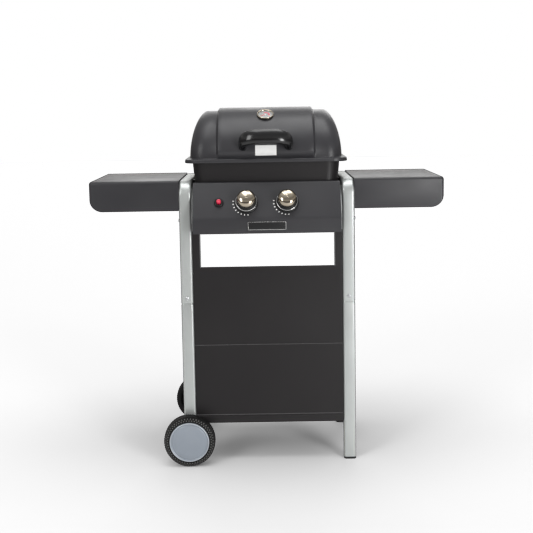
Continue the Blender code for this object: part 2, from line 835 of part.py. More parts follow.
def slotted_plate(name, low, high, slots, corners, thickness):
    """A plate with slots along Y. Corners gives the radius on the left and on the right."""
    (x0, y0), (x1, y1) = low, high
    left, right = corners
    outline = arc((x0 + left, y0 + left), left, 180, 270, 3)
    outline += arc((x1 - right, y0 + right), right, 270, 360, 3)
    outline += arc((x1 - right, y1 - right), right, 0, 90, 3)
    outline += arc((x0 + left, y1 - left), left, 90, 180, 3)
    outlines = [outline]
    pitch = (x1 - x0) / (slots + 1)
    width = pitch * 0.6
    for slot in range(slots):
        middle = x0 + pitch * (slot + 1)
        edge = 0.012
        if slot == 0:
            edge += left * 0.6
        if slot == slots - 1:
            edge += right * 0.6
        a, b = middle - width / 2, middle + width / 2
        outlines.append([(a, y0 + edge), (b, y0 + edge), (b, y1 - edge), (a, y1 - edge)])
    return plate_mesh(name, outlines, thickness)


def inside_firebox():
    for side, label in ((-1, "left"), (1, "right")):
        xs = sorted((side * 0.0010, side * 0.2070))
        corners = (0.036, 0.002) if side < 0 else (0.002, 0.036)
        name = label + "_cooking_grate"
        mesh = slotted_plate(name, (xs[0], -0.1355), (xs[1], 0.1545), 11, corners, GRATE_THICKNESS)
        place(name, mesh, "enamel", (0, 0, GRATE_Z + GRATE_THICKNESS / 2))
        burner(label + "_burner", side)
        electrode = (
            (0, 0.0560),
            (0.0011, 0.0550),
            (0.0011, 0.0380),
            (0.0040, 0.0360),
            (0.0040, 0),
            (0, 0),
        )
        axis = pivot(label + "_spark_axis", (side * (KNOB_X + 0.030), -0.154, 0.7900), ALONG_Y)
        turned(label + "_electrode", electrode, "ceramic", axis, closed=False, steps=12)
    ridge = ((0.170, 0.8040), (0.100, 0.8300), (0.030, 0.8040))
    profile = ridge + tuple((-x, z) for x, z in reversed(ridge))
    sections = [[(x, y, z) for x, z in profile] for y in (0.1535, -0.1345)]
    tamer = place("flame_tamer", loft("flame_tamer", sections, wrap=False), "stainless")
    thicken(tamer, -0.0012)
    rack()
    drip_tray()


def burner(name, side):
    """A tube from the valve's jet, swept outwards to its row, closed at the rear."""
    z = BURNER_Z
    start, stop, steps = -0.120, -0.020, 7
    points = [(side * KNOB_X, BURNER_FRONT, z)]
    for step in range(steps + 1):
        share = step / steps
        x = KNOB_X + (BURNER_X - KNOB_X) * (1 - math.cos(math.pi * share)) / 2
        points.append((side * x, start + (stop - start) * share, z))
    points.append((side * BURNER_X, 0.1500, z))
    mesh = pipe_mesh(name, points, BURNER_RADIUS, caps=False, resolution=2)
    bm = bmesh.new()
    bm.from_mesh(mesh)
    rear = [edge for edge in bm.edges if edge.is_boundary and min(v.co.y for v in edge.verts) > 0.149]
    bmesh.ops.edgeloop_fill(bm, edges=rear)
    bmesh.ops.recalc_face_normals(bm, faces=bm.faces)
    bm.to_mesh(mesh)
    bm.free()
    thicken(place(name, mesh, "stainless"), 0.001)


def rack():
    """The warming rack, on two end plates that stand on the grates."""
    mesh = slotted_plate("warming_rack", (-0.1875, 0.045), (0.1875, 0.135), 12, (0.006, 0.006), 0.003)
    obj = place("warming_rack", mesh, "enamel", (0, 0, 0.9520))
    foot_z = GRATE_Z + GRATE_THICKNESS + GAP
    for side, label in ((-1, "left"), (1, "right")):
        low_x, high_x = sorted((side * 0.1845, side * 0.1885))
        end = block(label + "_rack_end", (low_x, 0.0540, foot_z), (high_x, 0.1260, 0.9530))
        join(obj, end)
        obj.modifiers[-1].solver = "MANIFOLD"  # EXACT leaves an open edge at each slot


def drip_tray():
    rings = (
        (0.0640, 0.0710, 0.006, 0.6870),
        (0.0672, 0.0742, 0.007, 0.7017),
        (0.0780, 0.0850, 0.009, 0.7017),
    )
    sections = [ring_points(*ring, steps=3) for ring in rings]
    tray = place("drip_tray", loft("drip_tray", sections, low_cap=True), "stainless")
    thicken(tray, 0.001)


# Lid --------------------------------------------------------------------------------------


def lid_size(turn):
    """Half width and half depth of the lid, that far round its curve from the rim."""
    rise = math.sin(turn)
    shoulder = max(0, 1 - rise**SHOULDER_POWER) ** (1 / SHOULDER_POWER)
    half_x = LID_TOP_HALF_X + (LID_HALF_X - LID_TOP_HALF_X) * shoulder
    return half_x, LID_HALF_Y * math.cos(turn)


def lid_slope(turn):
    """The angle of the lid's outward normal above the horizontal."""
    return math.atan2(math.sin(turn) / LID_HEIGHT, math.cos(turn) / LID_HALF_Y)


def raise_at(z):
    share = min(1, max(0, (z - RIM_Z - 0.002) / RAISE_FADE))
    return LID_RAISE * share * share * (3 - 2 * share)


def lid_ring(half_x, half_y, z, slope, lift):
    corner = (0.045**-3 + (0.9 * max(half_y, 1e-5)) ** -3) ** (-1 / 3)
    stops = (-RAISE_OUTER, -RAISE_INNER, 0, RAISE_INNER, RAISE_OUTER)
    points = [(x, -half_y) for x in stops]
    points += arc((half_x - corner, corner - half_y), corner, -90, 0, 5)
    points += arc((half_x - corner, half_y - corner), corner, 0, 90, 5)
    points += [(x, half_y) for x in reversed(stops)]
    points += arc((corner - half_x, half_y - corner), corner, 90, 180, 5)
    points += arc((corner - half_x, corner - half_y), corner, 180, 270, 5)
    ring = []
    for x, y in points:
        middle = abs(x) < RAISE_INNER + 0.001
        out = math.copysign(lift * math.cos(slope), y) if middle else 0
        up = lift * math.sin(slope) if middle else 0
        if half_y < 1e-6:
            out = 0
        ring.append((x, BOX_Y + y + out, z + up))
    return ring


LID_TURNS = (0, 5, 11, 18, 26, 35, 44, 53, 62, 70, 77, 83.5, 90)


def lid():
    flange_x = LID_HALF_X + LID_FLANGE
    flange_y = LID_HALF_Y + LID_FLANGE
    sections = [
        lid_ring(flange_x, flange_y, LIP_LOW, 0, 0),
        lid_ring(flange_x, flange_y, RIM_Z - 0.002, 0, 0),
        lid_ring(flange_x - 0.002, flange_y - 0.002, RIM_Z, 0, 0),
        lid_ring(LID_HALF_X + 0.003, LID_HALF_Y + 0.003, RIM_Z + 0.0004, 0, 0),
    ]
    for degrees in LID_TURNS:
        turn = math.radians(degrees)
        half_x, half_y = lid_size(turn)
        z = RIM_Z + 0.0025 + (LID_HEIGHT - 0.0025) * math.sin(turn)
        if degrees == 90:
            half_y = 0
        sections.append(lid_ring(half_x, half_y, z, lid_slope(turn), raise_at(z)))
    shell = place("lid", loft("lid", sections, smooth=True), "charcoal")
    thicken(shell, LID_WALL)
    thermometer_axis = lid_pivot("thermometer_axis", THERMOMETER_TURN)
    cut(shell, rod("stem_hole", 0.0045, 0.04, (0, 0, -0.02), (0, 0, 0), segments=16, parent=thermometer_axis))
    thermometer(thermometer_axis)
    handle(lid_pivot("handle_axis", HANDLE_TURN))
    for side, label in ((-1, "left"), (1, "right")):
        lid_hinge(label, side)


def lid_pivot(name, turn):
    """An empty on the raised middle of the lid's front, with Z out of its surface."""
    slope = lid_slope(turn)
    y = BOX_Y - LID_HALF_Y * math.cos(turn) - LID_RAISE * math.cos(slope)
    z = RIM_Z + 0.0025 + (LID_HEIGHT - 0.0025) * math.sin(turn) + LID_RAISE * math.sin(slope)
    return pivot(name, (0, y, z), (math.pi / 2 - slope, 0, 0))


def thermometer(axis):
    case = (
        (0, 0.0025),
        (0.0213, 0.0025),
        (0.0213, 0.0048),
        (0.0225, 0.0064),
        (0.0238, 0.0066),
        (0.0250, 0.0054),
        (0.0250, 0.0016),
        (0.0240, 0.0010),
        (0.0036, 0.0010),
        (0.0036, -0.0550),
        (0, -0.0570),
    )
    turned("thermometer_case", case, "chrome", axis, closed=False)
    lens = ((0, 0.0056), (0.0210, 0.0056), (0.0210, 0.0046), (0, 0.0046))
    turned("thermometer_lens", lens, "glass", axis, closed=False)
    outline = arc((0, 0), 0.0028, -200, 20, 8)
    outline.append((0.0006, 0.0175))
    outline.append((-0.0006, 0.0175))
    mesh = plate_mesh("thermometer_needle", [outline], 0.0006)
    place("thermometer_needle", mesh, "red_plastic", (0, 0, 0.0036), (0, 0, math.radians(120)), axis)


def handle(axis):
    """A moulded bow: an oval section along a squared arch that stands off the lid."""
    half_span, stand_off, lift, power = 0.067, 0.043, 0.012, 2.9
    stations = 16
    sections = []
    for station in range(stations + 1):
        angle = math.pi * station / stations
        middle, tangent = arch(angle, half_span, stand_off, lift, power)
        across = tangent.cross(Vector((0, 1, 0))).normalized()
        up = across.cross(tangent).normalized()
        swell = math.sin(angle)
        half_thick = 0.0135 - 0.002 * swell
        half_tall = 0.0180 + 0.0020 * swell
        ring = []
        for step in range(14):
            turn = -2 * math.pi * step / 14
            ring.append(middle + across * half_thick * math.cos(turn) + up * half_tall * math.sin(turn))
        sections.append(ring)
    mesh = loft("lid_handle", sections, low_cap=True, high_cap=True, smooth=True)
    place("lid_handle", mesh, "gloss_plastic", (0, 0, 0), parent=axis)


def arch(angle, half_span, stand_off, lift, power):
    """A point of the handle's centre line, and the direction of the line there."""

    def point(turn):
        across = math.copysign(abs(math.cos(turn)) ** (2 / power), math.cos(turn))
        out = max(0, math.sin(turn)) ** (2 / power)
        return Vector((-half_span * across, lift * out, 0.0008 + stand_off * out))

    step = 0.02
    if angle < step or angle > math.pi - step:
        return point(min(max(angle, 0), math.pi)), Vector((0, 0, 1 if angle < 1 else -1))
    return point(angle), (point(angle + step) - point(angle - step)).normalized()


def lid_hinge(label, side):
    """The half of a hinge that is screwed to the rear of the lid, and the hinge's pin."""
    outline = arc((HINGE_Y, HINGE_Z), KNUCKLE_RADIUS, 180, 420, 10)
    outline += [(0.1800, 0.9350), (0.1714, 0.9350), (0.1714, 0.9110), (0.1880, 0.9070)]
    x = side * (HINGE_X + KNUCKLE_LENGTH * 1.5 + GAP)
    plate = hinge_plate(label + "_lid_hinge", outline, x, "zinc")
    bore = (x - 0.02, HINGE_Y, HINGE_Z)
    cut(plate, rod(label + "_lid_bore", PIN_RADIUS + GAP, 0.04, bore, ALONG_X, segments=16))
    pin_x = side * (HINGE_X + KNUCKLE_LENGTH) - 0.0165
    rod(label + "_hinge_pin", PIN_RADIUS, 0.033, (pin_x, HINGE_Y, HINGE_Z), ALONG_X, "zinc", segments=12)


cart()
panels()
side_shelf("left", -1)
side_shelf("right", 1)
console()
control("left", -1)
control("right", 1)
manifold()
firebox()
inside_firebox()
lid()
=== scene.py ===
"""The looks of a two-burner gas barbecue on a wheeled cart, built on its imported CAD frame."""

import json
from math import atan2, copysign, cos, pi, radians, sin, tan

import bmesh
import bpy
from mathutils import Matrix, Vector


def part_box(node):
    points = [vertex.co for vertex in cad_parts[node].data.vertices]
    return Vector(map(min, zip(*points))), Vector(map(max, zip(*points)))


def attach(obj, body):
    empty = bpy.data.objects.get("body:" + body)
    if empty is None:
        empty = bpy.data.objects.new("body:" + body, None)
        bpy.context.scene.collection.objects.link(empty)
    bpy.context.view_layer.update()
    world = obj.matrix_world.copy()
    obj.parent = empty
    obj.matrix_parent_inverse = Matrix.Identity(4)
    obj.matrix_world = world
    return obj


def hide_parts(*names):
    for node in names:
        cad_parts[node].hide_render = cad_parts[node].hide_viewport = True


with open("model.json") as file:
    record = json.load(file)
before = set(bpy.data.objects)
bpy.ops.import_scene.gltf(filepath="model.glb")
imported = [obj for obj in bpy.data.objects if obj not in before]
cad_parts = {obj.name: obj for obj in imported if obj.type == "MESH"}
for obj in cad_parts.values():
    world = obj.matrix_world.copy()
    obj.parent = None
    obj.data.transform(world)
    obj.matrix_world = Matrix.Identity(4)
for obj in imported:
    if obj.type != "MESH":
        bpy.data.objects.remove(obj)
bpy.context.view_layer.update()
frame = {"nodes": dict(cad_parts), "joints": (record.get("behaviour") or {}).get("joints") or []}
SIDES = ((-1, "left"), (1, "right"))
JOINTS = {joint["name"]: joint for joint in frame["joints"]}

# Sizes shared with the CAD model, in metres
CART_Y = 0.0103  # from the middle of the whole, back to the middle of the cart
SHEET = 0.0012
LEG_DEPTH = 0.028
LEG_CORNER = 0.006
LEG_BEND = 0.03
SEAM_DROP = 0.03  # from the top of a lower leg to the seam
SHELF_BOLT_Z = 0.727
AXLE_NUT_OUT = 0.0117
WASHER_OUT = 0.0281
LEG_FACE_Y = 0.17
SILL_Z = 0.587
FACE_LEAN = radians(30)  # the face of the console, from upright
FACE_Y = -0.1912 + CART_Y
FACE_Z = 0.7805
FACE_FOOT_Z = 0.74
BOX_Y = 0.01 + CART_Y
MOUTH_Y = -0.14 + CART_Y
RIM_Z = 0.905
MOUTH_X = 0.0588
BURNER_X = 0.1
LID_HALF_X = 0.225
LID_HALF_Y = 0.16
LID_TOP_HALF_X = 0.1765
LID_HEIGHT = 0.14
LID_RAISE = 0.009
LID_FLANGE = 0.014
LID_FOOT = 0.0025
HANDLE_TURN = radians(15.5)
THERMOMETER_TURN = radians(56.5)
HINGE_Y = 0.196 + CART_Y
HINGE_X = 0.155
HINGE_RADIUS = 0.0065

# Sizes of the visual alone
MM = 0.001
WELD = 1e-6  # points closer than this are one
SCREW_SCALE = 1.15
UPRIGHT = 0.0225  # width of the panel beside the window
PANEL_BEND = 0.0022
BRACE_BEND = 0.0026
SHELF_BEND = 0.008
SHOULDER_LUGS = 52
HUB_RIBS = 8
TICK_RADIUS = 0.0385
LABEL_LIFT = 0.0001


# Materials


EVEN = (1, 1, 1)  # no stretch
WEAR_RADIUS = 0.0012


def plug(socket, value):
    """Gives a socket a value or a link."""
    if isinstance(value, bpy.types.NodeSocket):
        socket.id_data.links.new(value, socket)
    else:
        socket.default_value = value


def add_node(tree, kind, settings=None, **inputs):
    """A new node. An input goes by its name, or by i and its number."""
    made = tree.nodes.new("ShaderNode" + kind)
    for key, value in (settings or {}).items():
        setattr(made, key, value)
    for key, value in inputs.items():
        plug(made.inputs[int(key[1:])] if key[0] == "i" else made.inputs[key], value)
    return made


class Surface:
    """A Principled material whose detail comes from nodes on object coordinates."""

    def __init__(
        self, name, colour, roughness, metallic=0.0, specular=0.5, coat=0.0, coat_roughness=0.03,
    ):
        self.material = bpy.data.materials.new(name)
        self.material.use_nodes = True
        self.material.diffuse_color = (*colour, 1)
        self.tree = self.material.node_tree
        self.shader = self.tree.nodes["Principled BSDF"]
        self.colour = colour
        self.set("Base Color", (*colour, 1))
        self.set("Roughness", roughness)
        self.set("Metallic", metallic)
        self.set("Specular IOR Level", specular)
        self.set("Coat Weight", coat)
        self.set("Coat Roughness", coat_roughness)
        self.coordinates = self.node("TexCoord").outputs["Object"]
        self.tint = None
        self.normal = None

    def set(self, socket, value):
        plug(self.shader.inputs[socket], value)

    def node(self, kind, settings=None, **inputs):
        return add_node(self.tree, kind, settings, **inputs)

    def noise(self, scale, stretch, detail):
        mapped = self.node("Mapping", Vector=self.coordinates, Scale=stretch).outputs[0]
        return self.node("TexNoise", Vector=mapped, Scale=scale, Detail=detail).outputs[0]

    def ranged(self, value, low, high, to_low=0.0, to_high=1.0):
        made = self.node("MapRange", i0=value, i1=low, i2=high, i3=to_low, i4=to_high)
        return made.outputs[0]

    def blend(self, amount, colour):
        """Lays a colour over what the base colour has so far."""
        under = self.tint if self.tint else (*self.colour, 1)
        made = self.node("Mix", {"data_type": "RGBA"}, i0=amount, i6=under, i7=(*colour, 1))
        self.tint = made.outputs[2]
        self.set("Base Color", self.tint)
        return self

    def mottled(self, colour, scale, stretch=EVEN, low=0.3, high=0.72):
        return self.blend(self.ranged(self.noise(scale, stretch, 5.0), low, high), colour)

    def bevelled(self, radius):
        return self.node("Bevel", {"samples": 4}, Radius=radius).outputs[0]

    def edges(self):
        """How far a rounded normal turns from the true one: 1 on an edge and 0 on a flat."""
        true = self.node("NewGeometry").outputs["Normal"]
        soft = self.bevelled(WEAR_RADIUS)
        settings = {"operation": "DOT_PRODUCT"}
        facing = self.node("VectorMath", settings, i0=true, i1=soft).outputs["Value"]
        return self.ranged(facing, 0.995, 0.9)

    def wear_and_highlight(self, colour, amount):
        """Paler where a convex edge has been rubbed, in patches; on the tread and hubcap the
        paleness is painted highlight.
        """
        patches = self.ranged(self.noise(150.0, EVEN, 6.0), 0.4, 0.62, 0.0, amount)
        share = self.node("Math", {"operation": "MULTIPLY"}, i0=self.edges(), i1=patches)
        return self.blend(share.outputs[0], colour)

    def rubbed(self, low, high, scale=9.0, stretch=EVEN):
        """Roughness that wanders between two values."""
        value = self.ranged(self.noise(scale, stretch, 6.0), 0.32, 0.7, low, high)
        self.set("Roughness", value)
        return self

    def bent(self, normal):
        self.normal = normal
        self.set("Normal", self.normal)
        return self

    def bumped(self, height, strength, distance):
        """Adds a layer of bump over the one there is."""
        under = {"Normal": self.normal} if self.normal else {}
        inputs = {"Height": height, "Strength": strength, "Distance": distance, **under}
        return self.bent(self.node("Bump", **inputs).outputs[0])

    def rough(self, scale, strength, distance, stretch=EVEN):
        return self.bumped(self.noise(scale, stretch, 3.0), strength, distance)

    def pebbled(self, scale, strength, distance):
        """A moulded leather-like grain."""
        cells = self.node("TexVoronoi", Vector=self.coordinates, Scale=scale)
        return self.bumped(self.ranged(cells.outputs[0], 0.0, 0.7), strength, distance)

    def eased(self, radius=0.0007):
        """Softens the edges of a piece that keeps its CAD mesh. It comes before any bump."""
        return self.bent(self.bevelled(radius))


def powder_coat(name, colour, lighter, roughness, wear_and_highlight, specular=0.5):
    made = Surface(name, colour, roughness, specular=specular)
    made.mottled(lighter, 5.0).rubbed(roughness - 0.06, roughness + 0.08)
    made.wear_and_highlight(wear_and_highlight, 0.45).rough(1400, 0.2, 0.00008).rough(230, 0.1, 0.00015)
    return made


def metal(name, colour, darker, low, high, grain=EVEN, bump=0.12):
    made = Surface(name, colour, (low + high) / 2, 1.0)
    made.mottled(darker, 11.0, grain).rubbed(low, high, 14.0, grain)
    made.rough(420, bump, 0.00006, grain)
    return made


CHARCOAL = powder_coat(
    "charcoal_powder", (0.0225, 0.0222, 0.0252), (0.0265, 0.0262, 0.0292), 0.38, (0.11, 0.11, 0.12),
    specular=0.36,
)
BLACK = powder_coat(
    "black_powder", (0.0105, 0.0093, 0.01), (0.0128, 0.0116, 0.0122), 0.42, (0.09, 0.09, 0.09),
    specular=0.24,
)
BLACK_EASED = Surface("black_powder_cad", (0.0105, 0.0093, 0.01), 0.42, specular=0.24).eased()
BLACK_EASED.mottled((0.015, 0.0136, 0.0142), 5.0).rubbed(0.36, 0.5).rough(1400, 0.2, 0.00008)
# Paler black for the beads at the panel joint and foot: painted highlight along those edges.
HEM_HIGHLIGHT = powder_coat(
    "black_powder_painted_highlight", (0.05, 0.048, 0.05), (0.06, 0.058, 0.06), 0.3, (0.12, 0.12, 0.12),
)
INSIDE = powder_coat(
    "lid_inside", (0.018, 0.018, 0.019), (0.03, 0.027, 0.024), 0.5, (0.08, 0.08, 0.08),
)
SILVER = powder_coat(
    "silver_powder", (0.41, 0.43, 0.425), (0.45, 0.47, 0.46), 0.36, (0.62, 0.64, 0.63),
)
SILVER.set("Metallic", 0.55)
SILVER.rough(3200, 0.1, 0.00004)
CHROME = metal("polished_chrome", (0.47, 0.42, 0.345), (0.34, 0.29, 0.22), 0.05, 0.13, bump=0.03)
ZINC = metal("zinc_plate", (0.56, 0.57, 0.58), (0.43, 0.44, 0.46), 0.28, 0.46, bump=0.18)
ZINC_EASED = Surface("zinc_plate_cad", (0.56, 0.57, 0.58), 0.36, 1.0).eased()
ZINC_EASED.mottled((0.43, 0.44, 0.46), 60.0).rubbed(0.28, 0.46, 40.0).rough(900, 0.15, 0.00006)
BRASS = Surface("turned_brass", (0.72, 0.52, 0.24), 0.3, 1.0).eased(0.0004)
BRASS.mottled((0.55, 0.37, 0.15), 70.0).rubbed(0.22, 0.42, 60.0).rough(800, 0.12, 0.00005)
TUBE = metal("heated_tube", (0.48, 0.46, 0.43), (0.3, 0.23, 0.17), 0.26, 0.46)
HEATED = Surface("heated_stainless", (0.5, 0.48, 0.45), 0.34, 1.0).eased()
HEATED.mottled((0.34, 0.25, 0.17), 9.0).mottled((0.22, 0.22, 0.3), 6.0, low=0.55, high=0.72)
HEATED.rubbed(0.25, 0.5, 12.0).rough(500, 0.12, 0.00006, (1, 18, 1))
ENAMEL = Surface("black_enamel_cast", (0.02, 0.02, 0.021), 0.3, coat=0.35, coat_roughness=0.18)
ENAMEL.mottled((0.036, 0.035, 0.034), 60.0).rubbed(0.24, 0.42, 30.0).rough(300, 0.45, 0.0003)
ENAMEL.wear_and_highlight((0.1, 0.095, 0.09), 0.35)
PLASTIC = Surface("moulded_black", (0.005, 0.005, 0.0053), 0.38, specular=0.26)
PLASTIC.mottled((0.008, 0.008, 0.0084), 14.0).rubbed(0.36, 0.5).pebbled(1500, 0.22, 0.0001)
PLASTIC.wear_and_highlight((0.05, 0.05, 0.05), 0.35)
TREAD = Surface("tread_plastic_black", (0.0045, 0.0045, 0.0045), 0.6, specular=0.18)
TREAD.mottled((0.008, 0.0078, 0.0076), 16.0).rubbed(0.46, 0.66).pebbled(900, 0.35, 0.00014)
# Paler patches on the tread's edges: painted highlight along the notches.
TREAD.wear_and_highlight((0.035, 0.034, 0.033), 0.5)
# Pale grey for the shoulder lugs: painted highlight, the light dots where the lugs catch the light.
TREAD_LUG_HIGHLIGHT = Surface("tread_lug_painted_highlight", (0.135, 0.135, 0.132), 0.5)
TREAD_LUG_HIGHLIGHT.mottled((0.095, 0.095, 0.093), 30.0).rubbed(0.42, 0.6).pebbled(900, 0.3, 0.00012)
# Paler blue-grey for the hubcap's rim bead: painted highlight round the rim.
HUBCAP_RIM_HIGHLIGHT = Surface("hubcap_rim_painted_highlight", (0.46, 0.49, 0.53), 0.34, 0.15)
HUBCAP_RIM_HIGHLIGHT.mottled((0.4, 0.43, 0.47), 20.0).rubbed(0.28, 0.42).rough(1600, 0.12, 0.00005)
HUBCAP = Surface("hubcap_blue_grey", (0.218, 0.247, 0.285), 0.4, 0.15, coat=0.1, coat_roughness=0.3)
HUBCAP.mottled((0.25, 0.28, 0.32), 12.0).rubbed(0.34, 0.48).rough(1600, 0.16, 0.00006)
# Paler patches on the hubcap's edges: rubbed paint, and painted highlight along its rim.
HUBCAP.wear_and_highlight((0.45, 0.48, 0.52), 0.5)
GLOSS = Surface(
    "gloss_black", (0.0045, 0.0045, 0.005), 0.2, specular=0.35, coat=0.3, coat_roughness=0.06,
)
GLOSS.mottled((0.008, 0.008, 0.009), 9.0).rubbed(0.16, 0.26, 16.0).rough(160, 0.05, 0.00008)
RED = Surface("button_red_plastic", (0.6, 0.018, 0.06), 0.26, coat=0.4, coat_roughness=0.1)
RED.mottled((0.52, 0.014, 0.05), 90.0).rubbed(0.2, 0.34, 60.0).rough(1200, 0.06, 0.00005)
NEEDLE = Surface("needle_enamel", (0.6, 0.03, 0.03), 0.35).eased(0.0002)
NEEDLE.mottled((0.5, 0.02, 0.02), 400.0).rubbed(0.28, 0.42, 300.0)
CERAMIC = Surface("glazed_ceramic", (0.83, 0.81, 0.76), 0.25, coat=0.5).eased(0.0003)
CERAMIC.mottled((0.72, 0.68, 0.6), 120.0).rubbed(0.18, 0.35, 90.0)
PRINT = Surface("white_print", (0.88, 0.88, 0.87), 0.45)
PRINT.mottled((0.8, 0.8, 0.79), 220.0).rubbed(0.4, 0.55, 200.0)
DIAL = Surface("dial_paper", (0.3, 0.29, 0.285), 0.55)
DIAL.mottled((0.24, 0.235, 0.225), 90.0).rubbed(0.48, 0.62, 120.0).rough(2500, 0.08, 0.00003)
INK = Surface("dial_ink", (0.02, 0.02, 0.02), 0.5)
INK.mottled((0.05, 0.05, 0.05), 300.0).rubbed(0.45, 0.6, 300.0)
SATIN = metal("satin_trim", (0.7, 0.7, 0.69), (0.6, 0.6, 0.6), 0.22, 0.34, (20, 1, 1))
LABEL = Surface("label_foil", (0.74, 0.74, 0.73), 0.38)
LABEL.mottled((0.66, 0.66, 0.65), 40.0).rubbed(0.32, 0.46, 60.0).rough(900, 0.05, 0.00004)
# Near-black for the burner ports: painted shade inside the holes.
PORT_SHADE = Surface("burner_port_painted_shade", (0.006, 0.006, 0.006), 0.7)
PORT_SHADE.mottled((0.014, 0.011, 0.009), 500.0).rubbed(0.6, 0.8, 300.0)


def clear_lens():
    """Glass that lets the dial through, with a mirror at its surface."""
    made = Surface("dial_lens", (0.95, 0.97, 0.98), 0.03).rubbed(0.02, 0.06, 120.0)
    clear = made.node("BsdfTransparent", Color=(0.97, 0.98, 0.98, 1)).outputs[0]
    fresnel = made.node("Fresnel", IOR=1.12).outputs[0]
    mirror = made.shader.outputs[0]
    mixed = made.node("MixShader", i0=fresnel, i1=clear, i2=mirror).outputs[0]
    plug(made.tree.nodes["Material Output"].inputs["Surface"], mixed)
    return made


LENS = clear_lens()


# Building


def linked(name, data):
    """A new object, in the scene."""
    obj = bpy.data.objects.new(name, data)
    bpy.context.scene.collection.objects.link(obj)
    return obj


def show(name, mesh, surface, body, replaced="", place=None, angle=35):
    """Puts a finished mesh into the scene as a piece that rides on a body."""
    if place is not None:
        mesh.transform(place)
    mesh.name = name
    mesh.shade_smooth()
    mesh.set_sharp_from_angle(angle=radians(angle))
    mesh.materials.clear()
    for each in surface if isinstance(surface, tuple) else (surface,):
        mesh.materials.append(each.material)
    obj = linked(name, mesh)
    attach(obj, body)
    if replaced:
        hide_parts(replaced)


def mesh_of(bm, weld=WELD):
    if weld:
        bmesh.ops.remove_doubles(bm, verts=bm.verts, dist=weld)
    bmesh.ops.recalc_face_normals(bm, faces=bm.faces)
    mesh = bpy.data.meshes.new("work")
    bm.to_mesh(mesh)
    bm.free()
    return mesh


def evaluated(*objects):
    """The final mesh of the first object. All of them are then removed."""
    bpy.context.view_layer.update()
    source = objects[0].evaluated_get(bpy.context.evaluated_depsgraph_get())
    made = bpy.data.meshes.new_from_object(source)
    for each in objects:
        bpy.data.objects.remove(each, do_unlink=True)
    return made


def modified(mesh, *stack):
    """The mesh after a stack of (modifier type, settings), where a mesh is a cutter."""
    objects = [linked("work", mesh)]
    for kind, settings in stack:
        modifier = objects[0].modifiers.new(kind, kind)
        for key, value in settings.items():
            if isinstance(value, bpy.types.Mesh):
                value = linked("cutter", value)
                objects.append(value)
            setattr(modifier, key, value)
    return evaluated(*objects)


def thick(thickness, inner=0):
    """Thickens a surface inwards. Inner is the number of the inside's material."""
    return "SOLIDIFY", {
        "thickness": thickness, "offset": -1, "use_even_offset": True, "material_offset": inner,
    }


def without(cutter, **settings):
    """Cuts a mesh out."""
    return "BOOLEAN", {"operation": "DIFFERENCE", "object": cutter, **settings}


def shift(x, y, z):
    return Matrix.Translation((x, y, z))


def turned(degrees, axis="Z"):
    return Matrix.Rotation(radians(degrees), 4, axis)


STANDING = turned(90) @ turned(90, "X")  # stands a plate up, facing along X


def axis_at(position, direction, up=(0, 0, 1)):
    """A place whose Z runs along a direction, and whose Y leans towards up."""
    z = Vector(direction).normalized()
    x = Vector(up).cross(z)
    x = Vector((1, 0, 0)) if x.length < 1e-6 else x.normalized()
    turn = Matrix((x, z.cross(x), z)).transposed().to_4x4()
    return shift(*position) @ turn


def arc(centre, radius, start, end, steps):
    points = []
    for step in range(steps + 1):
        angle = radians(start + (end - start) * step / steps)
        points.append((centre[0] + radius * cos(angle), centre[1] + radius * sin(angle)))
    return points


def rounded_rectangle(half_x, half_y, radius, steps=6):
    points = []
    for side_x, side_y, start in ((1, 1, 0), (-1, 1, 90), (-1, -1, 180), (1, -1, 270)):
        centre = (side_x * (half_x - radius), side_y * (half_y - radius))
        points += arc(centre, radius, start, start + 90, steps)
    return points


def eased(points, radius, steps, closed=False):
    """A polyline with its corners rounded, each by no more than its shorter side allows."""
    flat = [Vector(point) for point in points]
    made = []
    for i, corner in enumerate(flat):
        if not closed and i in (0, len(flat) - 1):
            made.append(tuple(corner))
            continue
        before, after = flat[i - 1] - corner, flat[(i + 1) % len(flat)] - corner
        reach = min(radius, 0.45 * before.length, 0.45 * after.length)
        start = corner + before.normalized() * reach
        end = corner + after.normalized() * reach
        for step in range(steps + 1):
            share = step / steps
            made.append(tuple(start.lerp(corner, share).lerp(corner.lerp(end, share), share)))
    return made


def loft(sections, wrap=True, capped=False):
    bm = bmesh.new()
    rings = [[bm.verts.new(point) for point in section] for section in sections]
    count = len(rings[0])
    for lower, upper in zip(rings, rings[1:]):
        for i in range(count if wrap else count - 1):
            j = (i + 1) % count
            bm.faces.new((lower[i], lower[j], upper[j], upper[i]))
    if capped:
        bm.faces.new(rings[0][::-1])
        bm.faces.new(rings[-1])
    return mesh_of(bm)


def revolve(points, turns, ease=0, steps=0, ripple=None):
    """Turns (radius, height) points in mm round Z, with corners eased.

    A profile that doesn't start on the axis is closed. Ripple is the depth of the tread.
    """
    ring = points[0][0] > 0
    points = [(radius * MM, height * MM) for radius, height in points]
    if ease:
        points = eased(points, ease * MM, steps, ring)
    bm = bmesh.new()
    rings = []
    for radius, height in points:
        if radius < 1e-6:
            rings.append([bm.verts.new((0, 0, height))])
            continue
        rings.append([])
        for step in range(turns):
            angle = 2 * pi * step / turns
            reach = radius - (ripple(radius, height, step) if ripple else 0)
            point = (reach * cos(angle), reach * sin(angle), height)
            rings[-1].append(bm.verts.new(point))
    following = rings[1:] + (rings[:1] if ring else [])
    for a, b in zip(rings, following):
        for i in range(turns if len(a) > 1 or len(b) > 1 else 0):
            j = (i + 1) % turns
            if len(a) == 1:
                bm.faces.new((a[0], b[i], b[j]))
            elif len(b) == 1:
                bm.faces.new((a[i], a[j], b[0]))
            else:
                bm.faces.new((a[i], a[j], b[j], b[i]))
    return mesh_of(bm)


